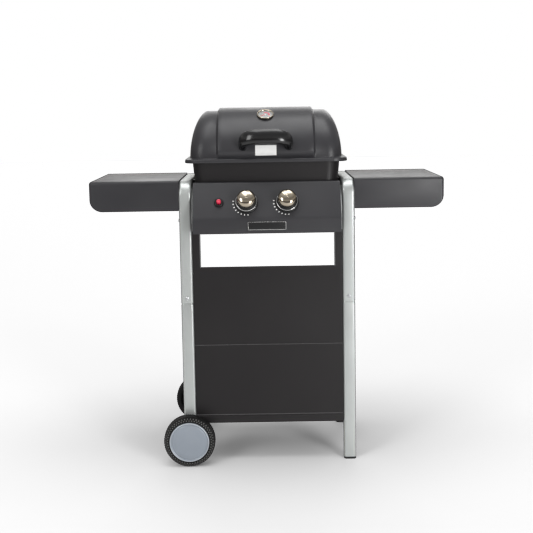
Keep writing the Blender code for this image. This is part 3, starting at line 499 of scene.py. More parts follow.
def curve_mesh(paths, radius, resolution, closed, **settings):
    curve = bpy.data.curves.new("work", "CURVE")
    for key, value in settings.items():
        setattr(curve, key, value)
    curve.bevel_depth = radius
    curve.bevel_resolution = resolution
    for path in paths:
        spline = curve.splines.new("POLY")
        spline.points.add(len(path) - 1)
        for point, where in zip(spline.points, path):
            point.co = (*where, 1)
        spline.use_cyclic_u = closed
    mesh = evaluated(linked("work", curve))
    bm = bmesh.new()
    bm.from_mesh(mesh)
    bmesh.ops.remove_doubles(bm, verts=bm.verts, dist=WELD)
    bm.to_mesh(mesh)
    bm.free()
    return mesh


def plate(outlines, thickness, edge):
    """A flat plate in XY with rounded edges, from an outline and its holes."""
    paths = [[(x, y, 0) for x, y in outline] for outline in outlines]
    return curve_mesh(
        paths, edge, 2, True, dimensions="2D", fill_mode="BOTH", extrude=thickness / 2 - edge,
        offset=-edge,
    )


def wires(paths, radius, resolution=4, closed=False):
    """Round wires along paths of points."""
    return curve_mesh(paths, radius, resolution, closed, dimensions="3D", use_fill_caps=True)


def add_box(bm, size, place):
    bmesh.ops.create_cube(bm, size=1, matrix=place @ Matrix.Diagonal((*size, 1)))


def add_cylinder(bm, radius, depth, segments, place):
    bmesh.ops.create_cone(
        bm, cap_ends=True, segments=segments, radius1=radius, radius2=radius, depth=depth,
        matrix=place,
    )


def box_between(low, high):
    bm = bmesh.new()
    low, high = Vector(low), Vector(high)
    add_box(bm, high - low, Matrix.Translation((low + high) / 2))
    return bm


def softened(bm, edge, segments):
    """The mesh with all its edges bevelled."""
    if edge:
        bmesh.ops.bevel(bm, geom=bm.edges[:], offset=edge, segments=segments, affect="EDGES")
    return mesh_of(bm, 0)


def block(low, high, edge, segments=2):
    return softened(box_between(low, high), edge, segments)


def folded(low, high, open_sides, radius, *after):
    """A sheet folded round a box, without the sides named."""
    bm = box_between(low, high)
    missing = []
    for face in bm.faces:
        axis = max(range(3), key=lambda k: abs(face.normal[k]))
        if ("+" if face.normal[axis] > 0 else "-") + "XYZ"[axis] in open_sides:
            missing.append(face)
    bmesh.ops.delete(bm, geom=missing, context="FACES")
    bend = {"width": radius, "segments": 5, "limit_method": "ANGLE"}
    bend["angle_limit"] = radians(30)
    return modified(mesh_of(bm, 0), ("BEVEL", bend), thick(SHEET), *after)


# Screws


def screw_head():
    dome = eased([(0, 2.5), (2.6, 2.3), (4.6, 1.4), (5.1, 0), (4.4, -0.3)], 0.6, 2)
    head = revolve(dome + [(0, -0.3)], 28)
    cross = bmesh.new()
    for size in ((0.0056, 0.001, 0.003), (0.001, 0.0056, 0.003)):
        add_box(cross, size, shift(0, 0, 0.0027))
    return modified(head, without(mesh_of(cross, 0), use_self=True))


SCREW = screw_head()


def screw(name, position, direction, scale=1.0):
    place = axis_at(position, direction) @ Matrix.Scale(scale, 4)
    show(name, SCREW.copy(), ZINC, "cart", place=place)


# Cart


def leg_outline(shrink, half_x):
    return rounded_rectangle(half_x - shrink, LEG_DEPTH / 2 - shrink, LEG_CORNER - shrink)


def leg_rings(node, steps):
    """A leg's outline at each (shrink, z), round the middle of its node."""
    low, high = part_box(node)
    x, y, half_x = (low.x + high.x) / 2, (low.y + high.y) / 2, (high.x - low.x) / 2
    return [[(x + u, y + v, z) for u, v in leg_outline(shrink, half_x)] for shrink, z in steps]


def side_frame(label):
    """The tube bent to an upside-down U, as one smooth sweep."""
    low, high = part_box(label + "_upper_frame")
    x, half_x = (low.x + high.x) / 2, (high.x - low.x) / 2
    front, rear = low.y + LEG_DEPTH / 2, high.y - LEG_DEPTH / 2
    top = high.z - LEG_DEPTH / 2
    stations = [((front, low.z), (-1, 0))]
    for centre_y, start, end in ((front + LEG_BEND, 180, 90), (rear - LEG_BEND, 90, 0)):
        for point in arc((centre_y, top - LEG_BEND), LEG_BEND, start, end, 14):
            out = Vector((point[0] - centre_y, point[1] - top + LEG_BEND)).normalized()
            stations.append((point, tuple(out)))
    stations.append(((rear, low.z), (1, 0)))
    outline = leg_outline(0, half_x)
    sections = []
    for (y, z), (out_y, out_z) in stations:
        sections.append([(x + u, y + v * out_y, z + v * out_z) for u, v in outline])
    mesh = modified(loft(sections), thick(SHEET))
    show(label + "_side_frame", mesh, SILVER, "cart", label + "_upper_frame")


def lower_leg(label):
    node = label + "_lower_leg"
    low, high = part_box(node)
    x, y, half_x = (low.x + high.x) / 2, (low.y + high.y) / 2, (high.x - low.x) / 2
    seam = high.z - SEAM_DROP
    steps = (
        (0.0006, low.z), (0, low.z + 0.0006), (0, seam - 0.0066), (0.0003, seam - 0.005),
        (0.0011, seam - 0.0028), (0.0023, seam - 0.0006), (0.0015, high.z),
    )
    mesh = modified(loft(leg_rings(node, steps)), thick(SHEET))
    show(label + "_leg", mesh, SILVER, "cart", node)
    side = -1 if x < 0 else 1
    end = -1 if y < 0 else 1
    seam_screw = (x, y + end * LEG_DEPTH / 2, seam + 0.0155)
    screw(label + "_seam_screw", seam_screw, (0, end, 0), SCREW_SCALE)
    bolt = (x + side * half_x, y, SHELF_BOLT_Z)
    screw(label + "_shelf_bolt", bolt, (side, 0, 0), SCREW_SCALE)
    if side < 0:
        bottom = (
            (0.0024, low.z - 0.0022), (0.0004, low.z - 0.0018), (0.0, low.z - 0.0006),
            (0.0, low.z - 0.0001), (0.0024, low.z),
        )
        plug = loft(leg_rings(node, bottom), capped=True)
        show(label + "_leg_plug", plug, PLASTIC, "cart")


def foot(label):
    node = label + "_foot"
    steps = (
        (0.003, 0.0), (0.001, 0.0003), (0.0002, 0.0012), (0.0, 0.0022), (0.0, 0.0044),
        (0.0005, 0.005), (0.0018, 0.0051), (0.002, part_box(node)[1].z),
    )
    mesh = loft(leg_rings(node, steps), capped=True)
    show(label + "_pad", mesh, PLASTIC, "cart", node)


def tyre_ripple(radius, height, step):
    """Tread: shallow grooves across the tyre and deeper notches round its shoulders."""
    wall, crown, centre_rib, groove, notch = 0.068, 0.0741, 0.0035, 0.0008, 0.003
    if step % 4 > 1 or radius < wall or abs(height) < centre_rib:
        return 0.0
    return groove if radius > crown else notch


def wheel(label):
    joint = JOINTS[label + "_wheel_spin"]
    end = -1 if label == "front" else 1
    axle = axis_at(joint["pos_m"], (0, end, 0))
    body = label + "_wheel"
    tyre = revolve(
        [
            (60.5, 18), (69, 18), (72.5, 16.8), (75, 12), (75, 4), (74.2, 3.2), (74.2, -3.2),
            (75, -4), (75, -12), (72.5, -16.8), (69, -18), (60, -18), (58.5, -5), (20, -5),
            (17.5, -25.7), (6.3, -25.7), (6.3, 8), (18, 8), (20, 4.5), (58.5, 4.5), (59.2, 16),
        ],
        288, 2.2, 3, ripple=tyre_ripple,
    )
    show(body + "_tread", tyre, TREAD, body, body, axle, angle=28)
    lugs = bmesh.new()
    for step in range(SHOULDER_LUGS):
        for radius, height, share in ((0.0648, 0.0182, step), (0.0704, 0.0176, step + 0.5)):
            place = turned(360 * share / SHOULDER_LUGS) @ shift(radius, 0, height)
            add_box(lugs, (0.0034, 0.0026, 0.0018), place)
    ribs = bmesh.new()
    for step in range(HUB_RIBS):
        place = turned(360 * step / HUB_RIBS) @ shift(0.0385, 0, -0.01)
        add_box(ribs, (0.041, 0.003, 0.012), place)
    # The shoulder lugs in pale grey: painted highlight on each lug.
    show(body + "_lugs", softened(lugs, 0.0004, 1), TREAD_LUG_HIGHLIGHT, body, place=axle)
    show(body + "_ribs", softened(ribs, 0.0006, 2), TREAD, body, place=axle)
    cap = revolve(
        [
            (0, 22.5), (18, 22.3), (40, 21.6), (50.5, 20.3), (52.2, 19), (53.8, 20.2), (56, 21.2),
            (58.2, 19), (58.3, 13), (56.5, 13), (55.8, 16.2), (52, 18), (40, 20), (0, 20.8),
        ],
        120, 1.6, 4,
    )
    name = label + "_hubcap"
    show(name + "_dome", cap, HUBCAP, body, name, axle, angle=50)
    # The rim bead in paler blue-grey: painted highlight round the hubcap's rim.
    bead = revolve(
        [(55.8, 20.6), (56.6, 21.6), (58.2, 20.6), (58.4, 19), (56.2, 19.6)], 120, 0.5, 3,
    )
    show(name + "_bead", bead, HUBCAP_RIM_HIGHLIGHT, body, place=axle)
    nut = plate([arc((0, 0), 0.01, 0, 300, 5), arc((0, 0), 0.0062, 0, 345, 23)], 0.0065, 0.0005)
    place = axle @ shift(0, 0, AXLE_NUT_OUT)
    show(label + "_lock_nut", nut, ZINC, "cart", label + "_axle_nut", place)
    washer = revolve([(6.3, 0), (11.8, 0), (11.8, 1.2), (6.3, 1.2)], 40, 0.3, 2)
    x, _, z = joint["pos_m"]
    place = axis_at((x, end * LEG_FACE_Y + CART_Y, z), (0, -end, 0)) @ shift(0, 0, WASHER_OUT)
    show(label + "_axle_washer", washer, ZINC, "cart", place=place)


# Panels and shelves


def show_black(name, mesh, replaced="", place=None):
    show(name, mesh, BLACK, "cart", replaced, place)


def panels():
    open_sides = ("+Y", "-Z", "+Z")
    low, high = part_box("front_panel_upper")
    opening = abs(low.x) - UPRIGHT
    hole = block((-opening, low.y - 0.01, SILL_Z), (opening, low.y + 0.012, high.z + 0.01), 0)
    mesh = folded(low, high, open_sides, PANEL_BEND, without(hole))
    show_black("upper_front_panel", mesh, "front_panel_upper")
    hem = block(
        (-opening, low.y + 0.0001, SILL_Z - 0.0105), (opening, low.y + 0.0042, SILL_Z + 0.0002),
        0.0009, 3,
    )
    show_black("window_sill_hem", hem)
    low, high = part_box("front_panel_lower")
    show_black("lower_front_panel", folded(low, high, open_sides, PANEL_BEND), "front_panel_lower")
    strip = block(
        (low.x + 0.002, low.y + 0.0016, high.z - 0.012),
        (high.x - 0.002, low.y + 0.0028, high.z + 0.012), 0.0003,
    )
    show_black("panel_joint_strip", strip)
    # Thin beads in the paler black: painted highlight along the panel joint and the panel's foot.
    for name, z in (("panel_joint_highlight", high.z - 0.0012), ("panel_foot_highlight", low.z + 0.003)):
        ends = [(x, low.y - 0.0001, z) for x in (low.x + 0.0015, high.x - 0.0015)]
        show(name, wires([ends], 0.001), HEM_HIGHLIGHT, "cart")
    shelf = folded(*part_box("bottom_shelf"), ("-Z",), BRACE_BEND)
    show_black("bottle_shelf", shelf, "bottom_shelf")
    low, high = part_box("rear_cross_bar")
    show_black("rear_brace", folded(low, high, ("-Y",), BRACE_BEND), "rear_cross_bar")
    for label, x in (("left", 0.014 - high.x), ("right", high.x - 0.014)):
        screw(label + "_brace_screw", (x, high.y, (low.z + high.z) / 2), (0, 1, 0))


def side_shelf(label, side):
    """A folded shelf whose outer end curves up from below."""
    node = label + "_side_shelf"
    low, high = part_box(node)
    outer = high.x if side > 0 else low.x
    reach, radius = 0.01, 0.038
    outline = arc((-radius, radius), radius, -90, 0, 20)
    outline += [(reach, radius), (reach, -reach), (-radius, -reach)]
    if side < 0:
        outline = [(-across, up) for across, up in reversed(outline)]
    bm = bmesh.new()
    for y in (low.y - 0.05, high.y + 0.05):
        bm.faces.new([bm.verts.new((outer + u, y, low.z + v)) for u, v in outline])
    bmesh.ops.bridge_loops(bm, edges=bm.edges[:])
    open_sides = ("-Z", "-X" if side > 0 else "+X")
    mesh = folded(low, high, open_sides, SHELF_BEND, without(mesh_of(bm)))
    show(label + "_shelf", mesh, CHARCOAL, "cart", node)


# Console


def on_face(z):
    """Y and Z of the console's face, that high."""
    return FACE_Y + (z - FACE_Z) * tan(FACE_LEAN), z


def at_cheek(edge):
    """Whether an edge lies between a cheek of the console and the rest of its sheet."""
    upright = abs(edge.verts[0].co.x - edge.verts[1].co.x) < WELD
    across = sorted(abs(face.normal.x) for face in edge.link_faces)
    return upright and len(across) == 2 and across[0] < 0.5 < across[1]


def console():
    low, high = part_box("console")
    outline = [
        (high.y, high.z), on_face(high.z), on_face(FACE_FOOT_Z), (low.y, FACE_FOOT_Z - 0.006),
        (low.y, low.z), (low.y + 0.02, low.z), (high.y, low.z),
    ]
    rounded = [outline[0]]
    for i, radius in ((1, 0.0085), (2, 0.006), (3, 0.0055), (4, 0.0022)):
        rounded += eased(outline[i - 1:i + 2], radius, 6)[1:-1]
    rounded += outline[5:]
    bm = bmesh.new()
    cheek = bm.faces.new([bm.verts.new((low.x, y, z)) for y, z in rounded])
    made = bmesh.ops.extrude_face_region(bm, geom=[cheek])["geom"]
    moved = [item for item in made if isinstance(item, bmesh.types.BMVert)]
    bmesh.ops.translate(bm, verts=moved, vec=(high.x - low.x, 0, 0))
    bmesh.ops.recalc_face_normals(bm, faces=bm.faces)
    missing = []
    for face in bm.faces:
        underneath = face.normal.z < -0.9 and face.calc_center_median().y > low.y + 0.015
        if face.normal.y > 0.9 or underneath:
            missing.append(face)
    bmesh.ops.delete(bm, geom=missing, context="FACES")
    edges = [edge for edge in bm.edges if at_cheek(edge)]
    bmesh.ops.bevel(bm, geom=edges, offset=0.0022, segments=4, affect="EDGES", clamp_overlap=True)
    mesh = modified(mesh_of(bm), thick(SHEET))
    show("console_sheet", mesh, CHARCOAL, "cart", "console")
    low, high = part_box("badge_plate")
    half = (high - low) / 2
    place = axis_at((low + high) / 2, (0, -1, 0))
    mesh = plate([rounded_rectangle(half.x, half.z, 0.002)], 2 * half.y, 0.0005)
    show("badge_blank", mesh, GLOSS, "cart", "badge_plate", place)
    ring = [
        rounded_rectangle(half.x - inset, half.z - inset, radius)
        for inset, radius in ((0.0008, 0.0016), (0.0019, 0.001))
    ]
    trim = plate(ring, 0.0006, 0.0002)
    place = place @ shift(0, 0, half.y)
    show("badge_border", trim, SATIN, "cart", place=place)


def face_place(x):
    return axis_at((x, FACE_Y, FACE_Z), (0, -cos(FACE_LEAN), sin(FACE_LEAN)))


def control(label):
    knob = label + "_knob"
    place = face_place(JOINTS[knob + "_turn"]["pos_m"][0])
    bezel = revolve([(29.8, 4.7), (33.4, 3.2), (34.5, 0.3), (11, 0.3), (11, 4.7)], 96, 0.9, 4)
    show(knob + "_dial", bezel, PLASTIC, "cart", knob + "_bezel", place)
    body = revolve(
        [
            (0, 38.5), (18, 37.5), (23.8, 33.5), (25.4, 29), (25.4, 16.5), (29.8, 13.2),
            (30.5, 9.2), (3.6, 9.2), (3.6, 30), (0, 30),
        ],
        96, 1.4, 4,
    )
    show(knob + "_skirt", body, PLASTIC, knob, knob + "_body", place)
    cap = revolve(
        [
            (0, 45.2), (2.4, 45), (3.4, 44.1), (9, 43.6), (15, 42.3), (20.5, 40), (24.7, 36.4),
            (26.9, 31.8), (27.3, 26.2), (26.8, 23.5), (25.7, 23.5), (25.7, 30), (24.3, 34.5),
            (19, 38.2), (0, 39.2),
        ],
        120, 2.2, 5,
    )
    show(knob + "_crown", cap, CHROME, knob, knob + "_cap", place, angle=60)
    # A bright satin ring round the skirt's edge: painted highlight, the arc of light along the
    # skirt's rim.
    rim = revolve([(29.2, 9.4), (30.7, 9.4), (31.3, 10.4), (30.7, 11.6), (29.2, 12)], 96, 0.4, 3)
    show(knob + "_rim", rim, SATIN, knob, place=place)
    pointer = block((-0.0006, 0.0262, 0.0134), (0.0006, 0.0292, 0.015), 0.0002)
    show(knob + "_pointer", pointer, PRINT, knob, place=place)
    marks = bmesh.new()
    first, apart = 172, 15  # degrees
    ticks = [(first + apart * k, 0.0046 - 0.00022 * k, 0.0026) for k in range(8)]
    for degrees, length, width in [(90, 0.0034, 0.0016), *ticks]:
        spot = turned(degrees) @ shift(TICK_RADIUS, 0, 0.00008)
        add_box(marks, (length, width, 0.00012), spot)
    show(knob + "_marks", mesh_of(marks, 0), PRINT, "cart", place=place)


def igniter():
    low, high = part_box("igniter_button")
    place = face_place((low.x + high.x) / 2)
    bezel = revolve(
        [(10.4, 6.2), (13, 4.8), (13.8, 0.3), (9.4, 0.3), (9.4, -14), (7, -14), (7, 6.2)], 72, 0.8,
        4,
    )
    show("igniter_collar", bezel, PLASTIC, "cart", "igniter_bezel", place)
    button = revolve(
        [(0, 15.4), (3.4, 15.7), (5.2, 15.5), (6.6, 13.8), (6.6, -4), (0, -4)], 72, 1.2, 5,
    )
    node = "igniter_button"
    show("igniter_push_cap", button, RED, node, node, place)


# Cooking box


def firebox():
    rings = (
        (0.055, 0.035, 0.01, 0.709), (0.2085, 0.1462, 0.029, 0.7412),
        (0.2103, 0.1472, 0.03, 0.7425), (0.211, 0.1475, 0.031, 0.745), (0.212, 0.148, 0.036, 0.843),
        (0.2165, 0.1512, 0.038, 0.8985), (0.2168, 0.1516, 0.038, 0.9006),
        (0.2178, 0.1526, 0.039, 0.9015), (0.2356, 0.1659, 0.048, 0.9015),
        (0.2362, 0.1665, 0.048, 0.901),
    )
    sections = []
    for half_x, half_y, radius, z in rings:
        outline = rounded_rectangle(half_x, half_y, radius, 12)
        sections.append([(x, BOX_Y + y, z) for x, y in outline])
    cutters = bmesh.new()
    for side in (-1, 1):
        for offset, radius, z in ((0, 0.0145, 0.759), (0.03, 0.0045, 0.79)):
            place = shift(side * (MOUTH_X + offset), MOUTH_Y, z) @ turned(90, "X")
            add_cylinder(cutters, radius, 0.04, 40, place)
    shell = modified(loft(sections), thick(SHEET), without(mesh_of(cutters, 0)))
    show_black("firebox_shell", shell, "firebox")
    strips = [
        ("grate_ledge_front", (-0.176, 0.176), (-0.1384, -0.126), (0.86, 0.863)),
        ("grate_ledge_rear", (-0.176, 0.176), (0.145, 0.1584), (0.86, 0.863)),
        ("tamer_ledge_front", (-0.174, 0.174), (-0.1372, -0.128), (0.8005, 0.8035)),
        ("tamer_ledge_rear", (-0.174, 0.174), (0.148, 0.1572), (0.8005, 0.8035)),
    ]
    lug = (0.2112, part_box("bottom_shelf")[1].x)
    mirrored = (
        ("tray_web", (0.079, 0.0806), (-0.075, 0.085), (0.7002, 0.7148)),
        ("tray_rail", (0.07, 0.0804), (-0.0748, 0.0848), (0.7, 0.7012)),
        ("front_lug", lug, (-0.08, -0.05), (0.818, 0.84)),
        ("rear_lug", lug, (0.07, 0.1), (0.818, 0.84)),
    )
    for name, (near, far), ys, zs in mirrored:
        strips += [("left_" + name, (-far, -near), ys, zs), ("right_" + name, (near, far), ys, zs)]
    for name, *spans in strips:
        low, high = (Vector(corner) + Vector((0, CART_Y, 0)) for corner in zip(*spans))
        show_black("firebox_" + name, block(low, high, 0.0004))
    arm = arc((HINGE_Y, RIM_Z), HINGE_RADIUS, -30, 180, 24)
    corners = ((0.1895, 0.8895), (0.1602, 0.8895), (0.159, 0.865), (0.165, 0.865), (0.196, 0.883))
    arm += [(y + CART_Y, z) for y, z in corners]
    width = 0.0135
    for side, label in SIDES:
        place = shift(side * (HINGE_X + width / 2), 0, 0) @ STANDING
        show_black(label + "_hinge_arm", plate([arm], width, 0.0006), place=place)


def grate(label, side):
    node = label + "_cooking_grate"
    low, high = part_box(node)
    left, right = (0.036, 0.004) if side < 0 else (0.004, 0.036)
    corners = (
        (low.x + left, low.y + left, left), (high.x - right, low.y + right, right),
        (high.x - right, high.y - right, right), (low.x + left, high.y - left, left),
    )
    outlines = [[]]
    for i, (x, y, radius) in enumerate(corners):
        outlines[0] += arc((x, y), radius, 180 + 90 * i, 270 + 90 * i, 10)
    slots = 11
    pitch = (high.x - low.x) / (slots + 1)
    end = pitch * 0.3
    for slot in range(slots):
        x = low.x + pitch * (slot + 1)
        inset = 0.012 + end
        if slot == 0:
            inset += left * 0.6
        if slot == slots - 1:
            inset += right * 0.6
        front = arc((x, low.y + inset), end, 180, 360, 8)
        outlines.append(front + arc((x, high.y - inset), end, 0, 180, 8))
    mesh = plate(outlines, high.z - low.z, 0.0019)
    place = shift(0, 0, (low.z + high.z) / 2)
    show(label + "_grate", mesh, ENAMEL, "cart", node, place)


def rack():
    """The warming rack: a frame, its wires, and a bent leg at each end."""
    low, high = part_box("warming_rack")
    frame_radius, wire_radius, gaps = 0.002, 0.0012, 25
    top = high.z - frame_radius
    x, y0, y1 = high.x - 0.0025, low.y + 0.0025, high.y - 0.0025
    outline = rounded_rectangle(x, (y1 - y0) / 2, 0.008)
    loop = [(u, (y0 + y1) / 2 + v, top) for u, v in outline]
    bars = []
    for k in range(1, gaps):
        across = -x + 2 * x * k / gaps
        bars.append([(across, y0, top), (across, y1, top)])
    legs = []
    a, b, foot_z, bend = y0 + 0.011, y1 - 0.011, low.z + frame_radius, 0.005
    for end in (-x, x):
        leg = [
            (end, a, top), (end, a, foot_z + bend), (end, a + bend, foot_z),
            (end, b - bend, foot_z), (end, b, foot_z + bend), (end, b, top),
        ]
        legs.append(leg)
    ring = wires([loop], frame_radius, closed=True)
    show("rack_frame", ring, CHROME, "cart", "warming_rack")
    show("rack_wires", wires(bars, wire_radius), CHROME, "cart")
    show("rack_legs", wires(legs, frame_radius), CHROME, "cart")


def burner(label, side):
    low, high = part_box(label + "_burner")
    z, radius = (low.z + high.z) / 2, (high.z - low.z) / 2
    start, length, steps = -0.12 + CART_Y, 0.1, 24
    points = [(side * MOUTH_X, low.y, z)]
    for step in range(steps + 1):
        share = step / steps
        x = MOUTH_X + (BURNER_X - MOUTH_X) * (1 - cos(pi * share)) / 2
        points.append((side * x, start + length * share, z))
    points.append((side * BURNER_X, high.y, z))
    tube = wires([points], radius - 0.0001, 8)
    show(label + "_burner_tube", tube, TUBE, "cart", label + "_burner")
    # Dark discs on the tube stand in for the ports: painted shade of holes that are not cut.
    ports = bmesh.new()
    for degrees in (-35, 35):
        for k in range(26):
            y = -0.01 + 0.152 * k / 25 + CART_Y
            place = shift(side * BURNER_X, y, z) @ turned(degrees, "Y") @ shift(0, 0, radius)
            add_cylinder(ports, 0.0011, 0.0003, 12, place)
    show(label + "_burner_ports", mesh_of(ports, 0), PORT_SHADE, "cart")


# Lid


def lid_height(turn):
    """The lid's curves go by a turn, from 0 at the rim to 90 degrees at the top."""
    return RIM_Z + LID_FOOT + (LID_HEIGHT - LID_FOOT) * sin(turn)


def lid_slope(turn):
    return atan2(sin(turn) / LID_HEIGHT, cos(turn) / LID_HALF_Y)


def lid_point(turn, lift=LID_RAISE):
    """Y and Z of the middle of the lid's front, that far round its curve."""
    slope = lid_slope(turn)
    y = BOX_Y - LID_HALF_Y * cos(turn) - lift * cos(slope)
    return y, lid_height(turn) + lift * sin(slope)


def lid_place(turn):
    slope = lid_slope(turn)
    return axis_at((0, *lid_point(turn)), (0, -cos(slope), sin(slope)))


def smooth_step(share):
    share = min(1.0, max(0.0, share))
    return share * share * (3 - 2 * share)


def lid_ring(half_x, half_y, z, slope=0, lift=0):
    """One ring of the lid: a rounded rectangle whose middle stands out by lift."""
    corner = (0.045**-3 + (0.9 * max(half_y, 1e-5)) ** -3) ** (-1 / 3)
    inner, outer, ramp = 0.1385, 0.1465, 8
    stops = [outer - (outer - inner) * k / ramp for k in range(ramp + 1)]
    stops += [0.125, 0.105, 0.08, 0.055, 0.025]
    stops = [-x for x in stops] + [0] + stops[::-1]
    points = []
    for side in (1, -1):
        points += [(side * x, -side * half_y) for x in stops]
        for end, start in ((-1, -90), (1, 0)):
            centre = (side * (half_x - corner), side * end * (half_y - corner))
            start += 90 - 90 * side
            points += arc(centre, corner, start, start + 90, 14)
    ring = []
    for x, y in points:
        share = lift * (1 - smooth_step((abs(x) - inner) / (outer - inner)))
        out = copysign(share * cos(slope), y) if half_y > 1e-6 else 0
        ring.append((x, BOX_Y + y + out, z + share * sin(slope)))
    return ring


def lid():
    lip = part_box("lid")[0].z
    rims = (
        (LID_FLANGE - 0.0004, lip), (LID_FLANGE, lip + 0.0005), (LID_FLANGE, RIM_Z - 0.003),
        (LID_FLANGE - 0.0002, RIM_Z - 0.0016), (LID_FLANGE - 0.0009, RIM_Z - 0.0005),
        (LID_FLANGE - 0.0024, RIM_Z), (0.0046, RIM_Z + 0.0001), (0.0022, RIM_Z + 0.0007),
        (0.0007, RIM_Z + 0.0018),
    )
    sections = [lid_ring(LID_HALF_X + proud, LID_HALF_Y + proud, z) for proud, z in rims]
    count, power = 44, 1.85
    for step in range(count + 1):
        share = step / count
        turn = radians(90) * (share + 0.12 * sin(pi * share) / pi)
        turn = min(turn, radians(90))
        shoulder = max(0, 1 - sin(turn) ** power) ** (1 / power)
        half_x = LID_TOP_HALF_X + (LID_HALF_X - LID_TOP_HALF_X) * shoulder
        half_y = LID_HALF_Y * cos(turn) if step < count else 0
        z = lid_height(turn)
        raised = LID_RAISE * smooth_step((z - RIM_Z - 0.002) / 0.02)
        sections.append(lid_ring(half_x, half_y, z, lid_slope(turn), raised))
    hole = bmesh.new()
    add_cylinder(hole, 0.0045, 0.04, 24, lid_place(THERMOMETER_TURN))
    mesh = modified(loft(sections), thick(0.0015, 1), without(mesh_of(hole, 0)))
    show("lid_shell", mesh, (CHARCOAL, INSIDE), "lid", "lid", angle=40)


def thermometer():
    place = lid_place(THERMOMETER_TURN)
    case = revolve(
        [
            (0, 2.5), (21.3, 2.5), (21.3, 4.8), (22.4, 6.4), (23.8, 6.7), (25, 5.4), (25, 1.6),
            (24, 1), (3.6, 1), (3.6, -55), (0, -57),
        ],
        120, 1.2, 5,
    )
    node = "thermometer_case"
    show("thermometer_bezel", case, CHROME, "lid", node, place, angle=50)
    face = revolve([(0, 3), (20.8, 3), (21.1, 2.7), (0, 2.7)], 96)
    show("thermometer_dial", face, DIAL, "lid", place=place)
    ticks = bmesh.new()
    first, apart, ring = 210, 8, 0.0195
    for k in range(31):
        length, width = (0.0016, 0.0003) if k % 5 else (0.003, 0.00055)
        spot = turned(first - apart * k) @ shift(ring - length / 2, 0, 0.00303)
        add_box(ticks, (length, width, 0.0001), spot)
    show("thermometer_ticks", mesh_of(ticks, 0), INK, "lid", place=place)
    band = arc((0, 0), 0.014, -30, 110, 30) + arc((0, 0), 0.0085, 110, -30, 30)
    on_dial = place @ shift(0, 0, 0.00305)
    show(
        "thermometer_zone", plate([band], 0.0001, 0.00002), RED, "lid", place=on_dial,
    )
    boss = revolve([(0, 4.4), (2.2, 4.3), (3, 4), (3, 3.85), (0, 3.85)], 40, 0.3, 3)
    show("thermometer_boss", boss, ZINC, "lid", place=place)
    lens = revolve([(0, 6.2), (11, 5.9), (21.1, 5), (21.1, 4.5), (0, 4.6)], 96, 1, 5)
    node = "thermometer_lens"
    show("thermometer_glass", lens, LENS, "lid", node, place, angle=50)


def powered(value, power):
    return copysign(abs(value) ** power, value)


def arch_point(turn):
    """A point on the middle line of the handle, a flat-topped arch that stands off the lid."""
    half_span, rise, reach, foot, power = 0.067, 0.012, 0.043, 0.0008, 2 / 2.9
    out = max(0, sin(turn)) ** power
    return Vector((-half_span * powered(cos(turn), power), rise * out, foot + reach * out))


def handle():
    place = lid_place(HANDLE_TURN)
    stations, around, near, squareness = 72, 40, 0.02, 0.86
    sections = []
    for station in range(stations + 1):
        angle = pi * station / stations
        if near <= angle <= pi - near:
            along = (arch_point(angle + near) - arch_point(angle - near)).normalized()
        else:
            along = Vector((0, 0, 1 if station == 0 else -1))
        across = along.cross(Vector((0, 1, 0))).normalized()
        up = across.cross(along).normalized()
        across *= 0.0135 - 0.002 * sin(angle)
        up *= 0.019 + 0.0032 * sin(angle)
        ring = []
        for step in range(around):
            turn = -2 * pi * step / around
            u, v = powered(cos(turn), squareness), powered(sin(turn), squareness)
            ring.append(arch_point(angle) + across * u + up * v)
        sections.append(ring)
    grip = loft(sections, capped=True)
    show("handle_grip", grip, GLOSS, "lid", "lid_handle", place, angle=60)


def label_plate():
    """A blank plate under the handle, bent to the lid's curve."""
    sections = []
    for k in range(9):
        turn = radians(2.8 + 11.6 * k / 8)
        raised = LID_RAISE * smooth_step(LID_HEIGHT * sin(turn) / 0.02)
        y, z = lid_point(turn, raised + LABEL_LIFT)
        slope = lid_slope(turn)
        y, z = y - 0.0002 * cos(slope), z + 0.0002 * sin(slope)
        sections.append([(-0.031 + 0.062 * i / 12, y, z) for i in range(13)])
    sheet = {"thickness": 0.0003, "offset": 1}
    mesh = modified(loft(sections, wrap=False), ("SOLIDIFY", sheet))
    show("lid_label_plate", mesh, LABEL, "lid")


def lid_hinges():
    outline = arc((HINGE_Y, RIM_Z), HINGE_RADIUS, 180, 420, 28)
    corners = ((0.18, 0.935), (0.1714, 0.935), (0.1714, 0.911), (0.188, 0.907))
    outline += [(y + CART_Y, z) for y, z in corners]
    bore = arc((HINGE_Y, RIM_Z), 0.0033, 345, 0, 23)
    for _, label in SIDES:
        node = label + "_lid_hinge"
        low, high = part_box(node)
        leaf = plate([outline, bore], high.x - low.x, 0.0006)
        place = shift((low.x + high.x) / 2, 0, 0) @ STANDING
        show(label + "_hinge_leaf", leaf, ZINC, "lid", node, place)


# CAD pieces that keep their shape

KEPT = {
    ZINC_EASED: (
        "wheel_axle", "left_valve_stem", "right_valve_stem", "gas_manifold", "left_hinge_pin",
        "right_hinge_pin",
    ),
    BRASS: ("left_valve_plug", "right_valve_plug", "left_valve_body", "right_valve_body"),
    HEATED: ("flame_tamer", "drip_tray"),
    BLACK_EASED: ("left_shelf_bracket", "right_shelf_bracket", "igniter_body"),
    CERAMIC: ("left_electrode", "right_electrode"), NEEDLE: ("thermometer_needle",),
}


def dress_kept_nodes():
    for surface, nodes in KEPT.items():
        for node in nodes:
            for slot in frame["nodes"][node].material_slots:
                slot.material = surface.material


# Stage


